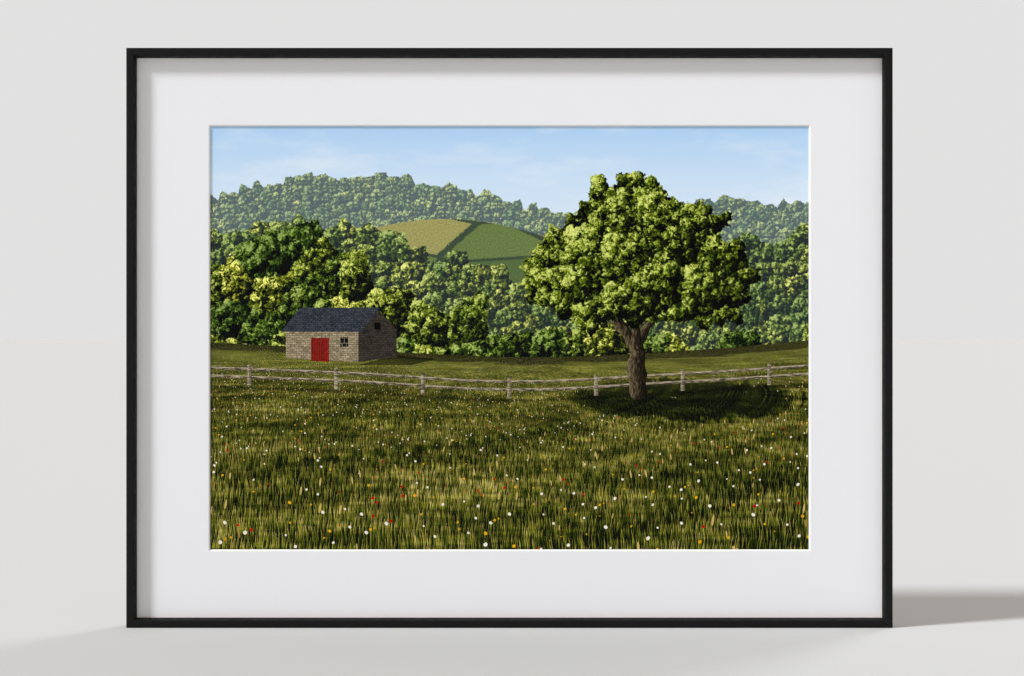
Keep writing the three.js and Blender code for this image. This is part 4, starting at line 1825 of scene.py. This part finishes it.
@dataclass
class Hangers:
    """The two strap hangers with their rivets, and the wire ring that swings in each."""

    copier: Copier
    offset: float = 230.0
    below: float = 80.0
    width: float = 9.0
    thickness: float = 1.1
    length: float = 34.0
    eye_radius: float = 2.5
    roll: float = 318.0  # how far round the strap's end is rolled, in degrees
    roll_steps: int = 28
    end_steps: int = 8
    seat_gap: float = 0.2
    edge: float = 0.18
    drops: Point2 = (18.0, 29.0)
    rivet_radius: float = 2.6
    rivet_height: float = 1.0
    rivet_sides: int = 28
    most_spin: float = 1.0
    seed: int = 3
    wire_radius: float = 1.1
    wire_sides: int = 14
    ring_width: float = 15.0
    ring_drop: float = 13.0
    ring_corner: float = 2.4
    ring_gap: float = 0.3

    @property
    def axis(self) -> Point2:
        """How far back and how high the rings' axis lies."""
        return (OUTER.back + self.seat_gap + self.eye_radius, OUTER.height - self.below)

    def strap(self, name: str, x: float) -> Thing:
        """Bends one strap: its lower end is round and its upper end rolls into the eye.

        Args:
            name: the piece's name.
            x: where its middle lies.

        Returns:
            The strap.
        """
        half_t = self.thickness / 2
        y0, z0 = self.axis
        flat_y = y0 - self.eye_radius + half_t
        end_radius = self.width / 2
        steps: list[tuple[Vector, Vector, float]] = []
        for k in range(1, self.end_steps + 1):
            angle = math.pi / 2 * k / self.end_steps
            z = z0 - self.length + end_radius * (1 - math.cos(angle))
            steps.append((Vector((x, flat_y, z)), Vector((0, 1, 0)), end_radius * math.sin(angle)))
        roll_radius = self.eye_radius - half_t
        for k in range(self.roll_steps + 1):
            angle = math.pi - math.radians(self.roll) * k / self.roll_steps
            out = Vector((0, math.cos(angle), math.sin(angle)))
            steps.append((Vector((x, y0, z0)) + out * roll_radius, -out, end_radius))
        rings = []
        for centre, inner, half_w in steps:
            cut = min(self.edge, half_w * 0.5)
            corner = ((half_w, half_t - cut), (half_w - cut, half_t))
            section = [
                *((-across, -out) for across, out in corner),
                *((across, -out) for across, out in corner[::-1]),
                *corner,
                *((-across, out) for across, out in corner[::-1]),
            ]
            rings.append([centre + Vector((across, 0, 0)) + inner * out for across, out in section])
        return skinned(name, rings)

    def rivet(self) -> Thing:
        """Turns one hollow rivet, with its head's underside at Y = 0.

        Returns:
            The rivet.
        """
        r, h = self.rivet_radius, self.rivet_height
        dome = ((0.97, 0.45), (0.84, 0.8), (0.64, 1.0), (0.48, 0.96), (0.4, 0.75))
        head = ((r * out, h * up) for out, up in dome)
        shank = ((0, -1.0), (1.4, -1.0), (1.4, 0))
        hollow = ((r * 0.37, 0.1), (0, 0.05))
        return turned("rivet_part", (*shank, (r - 0.1, 0), (r, 0.12), *head, *hollow), self.rivet_sides)

    def ring_path(self, x: float) -> list[Point3]:
        """Draws the middle of a ring's wire.

        Args:
            x: where the ring's middle lies.

        Returns:
            Its points, from one end in the eye round to the other.
        """
        half, corner = self.ring_width / 2, self.ring_corner
        y, z = self.axis
        points = [(self.ring_gap / 2, 0.0), (half - corner, 0.0)]
        for k in range(1, 7):
            angle = math.pi / 2 * (1 - k / 6)
            points.append((half - corner + corner * math.cos(angle), corner * (math.sin(angle) - 1)))
        for k in range(13):
            angle = -math.pi / 2 * k / 12
            points.append((half * math.cos(angle), half - self.ring_drop + half * math.sin(angle)))
        whole = points + [(-a, b) for a, b in points[-2::-1]]
        return [(x + a, y, z + b) for a, b in whole]

    def wire_tree(self, inputs: dict[str, object]) -> Tree:
        """Makes the tree that draws round wire along a path.

        Args:
            inputs: one ring's inputs, whose names and kinds the tree takes.

        Returns:
            The tree.
        """
        tree, given = named_tree("round wire", inputs)
        circle = {"Resolution": given["Sides"], "Radius": given["Wire Radius"]}
        drawn = {
            "Curve": add(tree, "GeometryNodeObjectInfo", (given["Path"],)).outputs["Geometry"],
            "Profile Curve": add(tree, "GeometryNodeCurvePrimitiveCircle", circle),
            "Fill Caps": True,
        }
        real = add(tree, "GeometryNodeRealizeInstances", (add(tree, "GeometryNodeCurveToMesh", drawn),))
        dressed = add(tree, "GeometryNodeSetMaterial", {"Geometry": real, "Material": given["Finish"]})
        add(tree, "NodeGroupOutput", (dressed,))
        return tree

    def build(self) -> None:
        """Builds both hangers, their rivets and their rings."""
        wire = None
        rivet = self.rivet()
        y, z = self.axis
        face = OUTER.back + self.seat_gap + self.thickness
        for label, x in (("left", -self.offset), ("right", self.offset)):
            strap = self.strap(f"strap_{label}", x)
            strap.data.materials.append(ZINC.material())
            seat(strap, STILL, "zinc", f"hanger_{label}")
            spots = [(x, face, z - drop, 0.0) for drop in self.drops]
            rivets = self.copier.set_out(f"rivets_{label}", spots, rivet, ZINC, self.most_spin, self.seed)
            seat(rivets, STILL, "zinc")
            path = curve_from("ring_path", self.ring_path(x), closed=False)
            inputs = {
                "Path": path,
                "Wire Radius": self.wire_radius * MM,
                "Sides": self.wire_sides,
                "Finish": ZINC.material(),
            }
            wire = wire or self.wire_tree(inputs)
            seat(grown(f"wire_ring_{label}", wire, inputs), f"ring_{label}", "zinc", f"ring_{label}")
            discard(path)
        discard(rivet)


@dataclass
class WallPads:
    """The rubber pads at the corners of the back."""

    copier: Copier
    radius: float = 5.0
    top_radius: float = 4.0
    height: float = 5.0
    sides: int = 32
    inset: float = 6.0
    seat_gap: float = 0.2
    most_spin: float = 1.0
    seed: int = 5

    def build(self) -> None:
        """Builds the four pads as one piece."""
        r, top, h = self.radius, self.top_radius, self.height
        wall = ((0, 0), (r - 0.15, 0), (r, 0.15), (r, h * 0.56), (r - 0.1, h * 0.68), (top + 0.15, h * 0.93))
        dished = ((top - 0.2, h), (1.2, h), (0.9, h - 0.35), (0, h - 0.4))
        pad = turned("pad_part", (*wall, *dished), self.sides)
        places = {}
        for label, side in (("left", -1), ("right", 1)):
            for level, z in (("top", OUTER.height - self.inset), ("bottom", self.inset)):
                x = side * (OUTER.width / 2 - self.inset)
                places[f"wall_pad_{level}_{label}"] = (x, OUTER.back + self.seat_gap, z, 0.0)
        spots = list(places.values())
        pads = self.copier.set_out("rubber_pads", spots, pad, RUBBER, self.most_spin, self.seed)
        seat(pads, STILL, "rubber", *places)
        discard(pad)


@dataclass
class Studio:
    """The pale floor, the soft light and the camera at the photograph's angle.

    The key lamp shines from the front left above. A weaker, softer one gives the back its form.
    """

    image_width: int = 1024
    mm_a_pixel: float = 0.9925  # at the print
    print_y: float = -2.0
    camera_x: float = 2.5
    camera_z: float = 286.4
    lens: float = 70.0
    sensor: float = 36.0
    sun_way: Point3 = (2.17, 1.0, -2.17)
    sun_strength: float = 4.18
    sun_size: float = 9.0
    sun_colour: Point3 = (0.97, 0.99, 1.05)
    rear_way: Point3 = (-0.7, -1.0, -1.0)
    rear_strength: float = 1.1
    rear_size: float = 18.0
    fill: Point3 = (1.08, 1.0, 0.95)
    fill_in_front: float = 0.48
    fill_behind: float = 0.65
    backdrop: str = "#e2e1e1"
    floor_radius: float = 400.0  # metres, so that no edge of it shows
    clip: Point2 = (0.05, 2000.0)  # metres

    def build(self) -> None:
        """Builds the whole studio."""
        scene = bpy.context.scene
        scene.view_settings.view_transform = "Standard"
        scene.camera = self.camera()
        self.floor()
        self.lamp("key", self.sun_way, self.sun_strength, self.sun_size)
        self.lamp("rear", self.rear_way, self.rear_strength, self.rear_size)
        scene.world = self.surround()

    def camera(self) -> Thing:
        """Sets the camera level in front, where the frame fills the same pixels as in the photograph.

        Returns:
            The camera.
        """
        lens = bpy.data.cameras.new("camera")
        lens.lens = self.lens
        lens.sensor_width = self.sensor
        lens.clip_start, lens.clip_end = self.clip
        away = self.mm_a_pixel * self.image_width * self.lens / self.sensor
        camera = placed("camera", lens)
        camera.location = Vector((self.camera_x, self.print_y - away, self.camera_z)) * MM
        camera.rotation_euler = (math.pi / 2, 0, 0)
        return camera

    def floor(self) -> None:
        """Lays the floor."""
        build = bmesh.new()
        bmesh.ops.create_circle(build, cap_ends=True, segments=96, radius=self.floor_radius)
        floor = object_from("studio_floor", build)
        floor.data.materials.append(STUDIO_PAINT.material())

    def lamp(self, name: str, way: Point3, strength: float, size: float) -> None:
        """Sets one soft lamp.

        Args:
            name: the lamp's name.
            way: the way that it shines.
            strength: how strongly.
            size: how wide it looks, in degrees, which softens its shadows.
        """
        sun = bpy.data.lights.new(name, "SUN")
        sun.energy = strength
        sun.angle = math.radians(size)
        sun.color = self.sun_colour
        placed(name, sun).rotation_euler = Vector(way).to_track_quat("-Z", "Y").to_euler()

    def surround(self) -> bpy.types.World:
        """Makes the fill light all round, with a pale backdrop for the camera alone.

        Returns:
            The world.
        """
        world = bpy.data.worlds.new("studio")
        world.use_nodes = True
        tree = world.node_tree
        tree.nodes.clear()
        way = add(tree, "SeparateXYZ", (add(tree, "TexCoord").outputs["Generated"],)).outputs["Y"]
        strength = add(tree, "MapRange", (way, -0.4, 1.0, self.fill_in_front, self.fill_behind))
        fill = add(tree, "Background", {"Color": (*self.fill, 1.0), "Strength": strength})
        backdrop = add(tree, "Background", {"Color": self.backdrop, "Strength": 1.0})
        seen = add(tree, "MixShader", (add(tree, "LightPath").outputs["Is Camera Ray"], fill, backdrop))
        add(tree, "OutputWorld", {"Surface": seen})
        return world


def main() -> None:
    """Builds the framed print in order."""
    logging.basicConfig(level=logging.INFO, format="%(message)s")
    moulding = Moulding()
    copier = Copier()
    fixings = (Fastenings(copier, moulding), Hangers(copier), WallPads(copier))
    for part in (Studio(), moulding, Sheets(), *fixings):
        log.info("building %s", type(part).__name__)
        part.build()


if __name__ == "__main__":
    main()
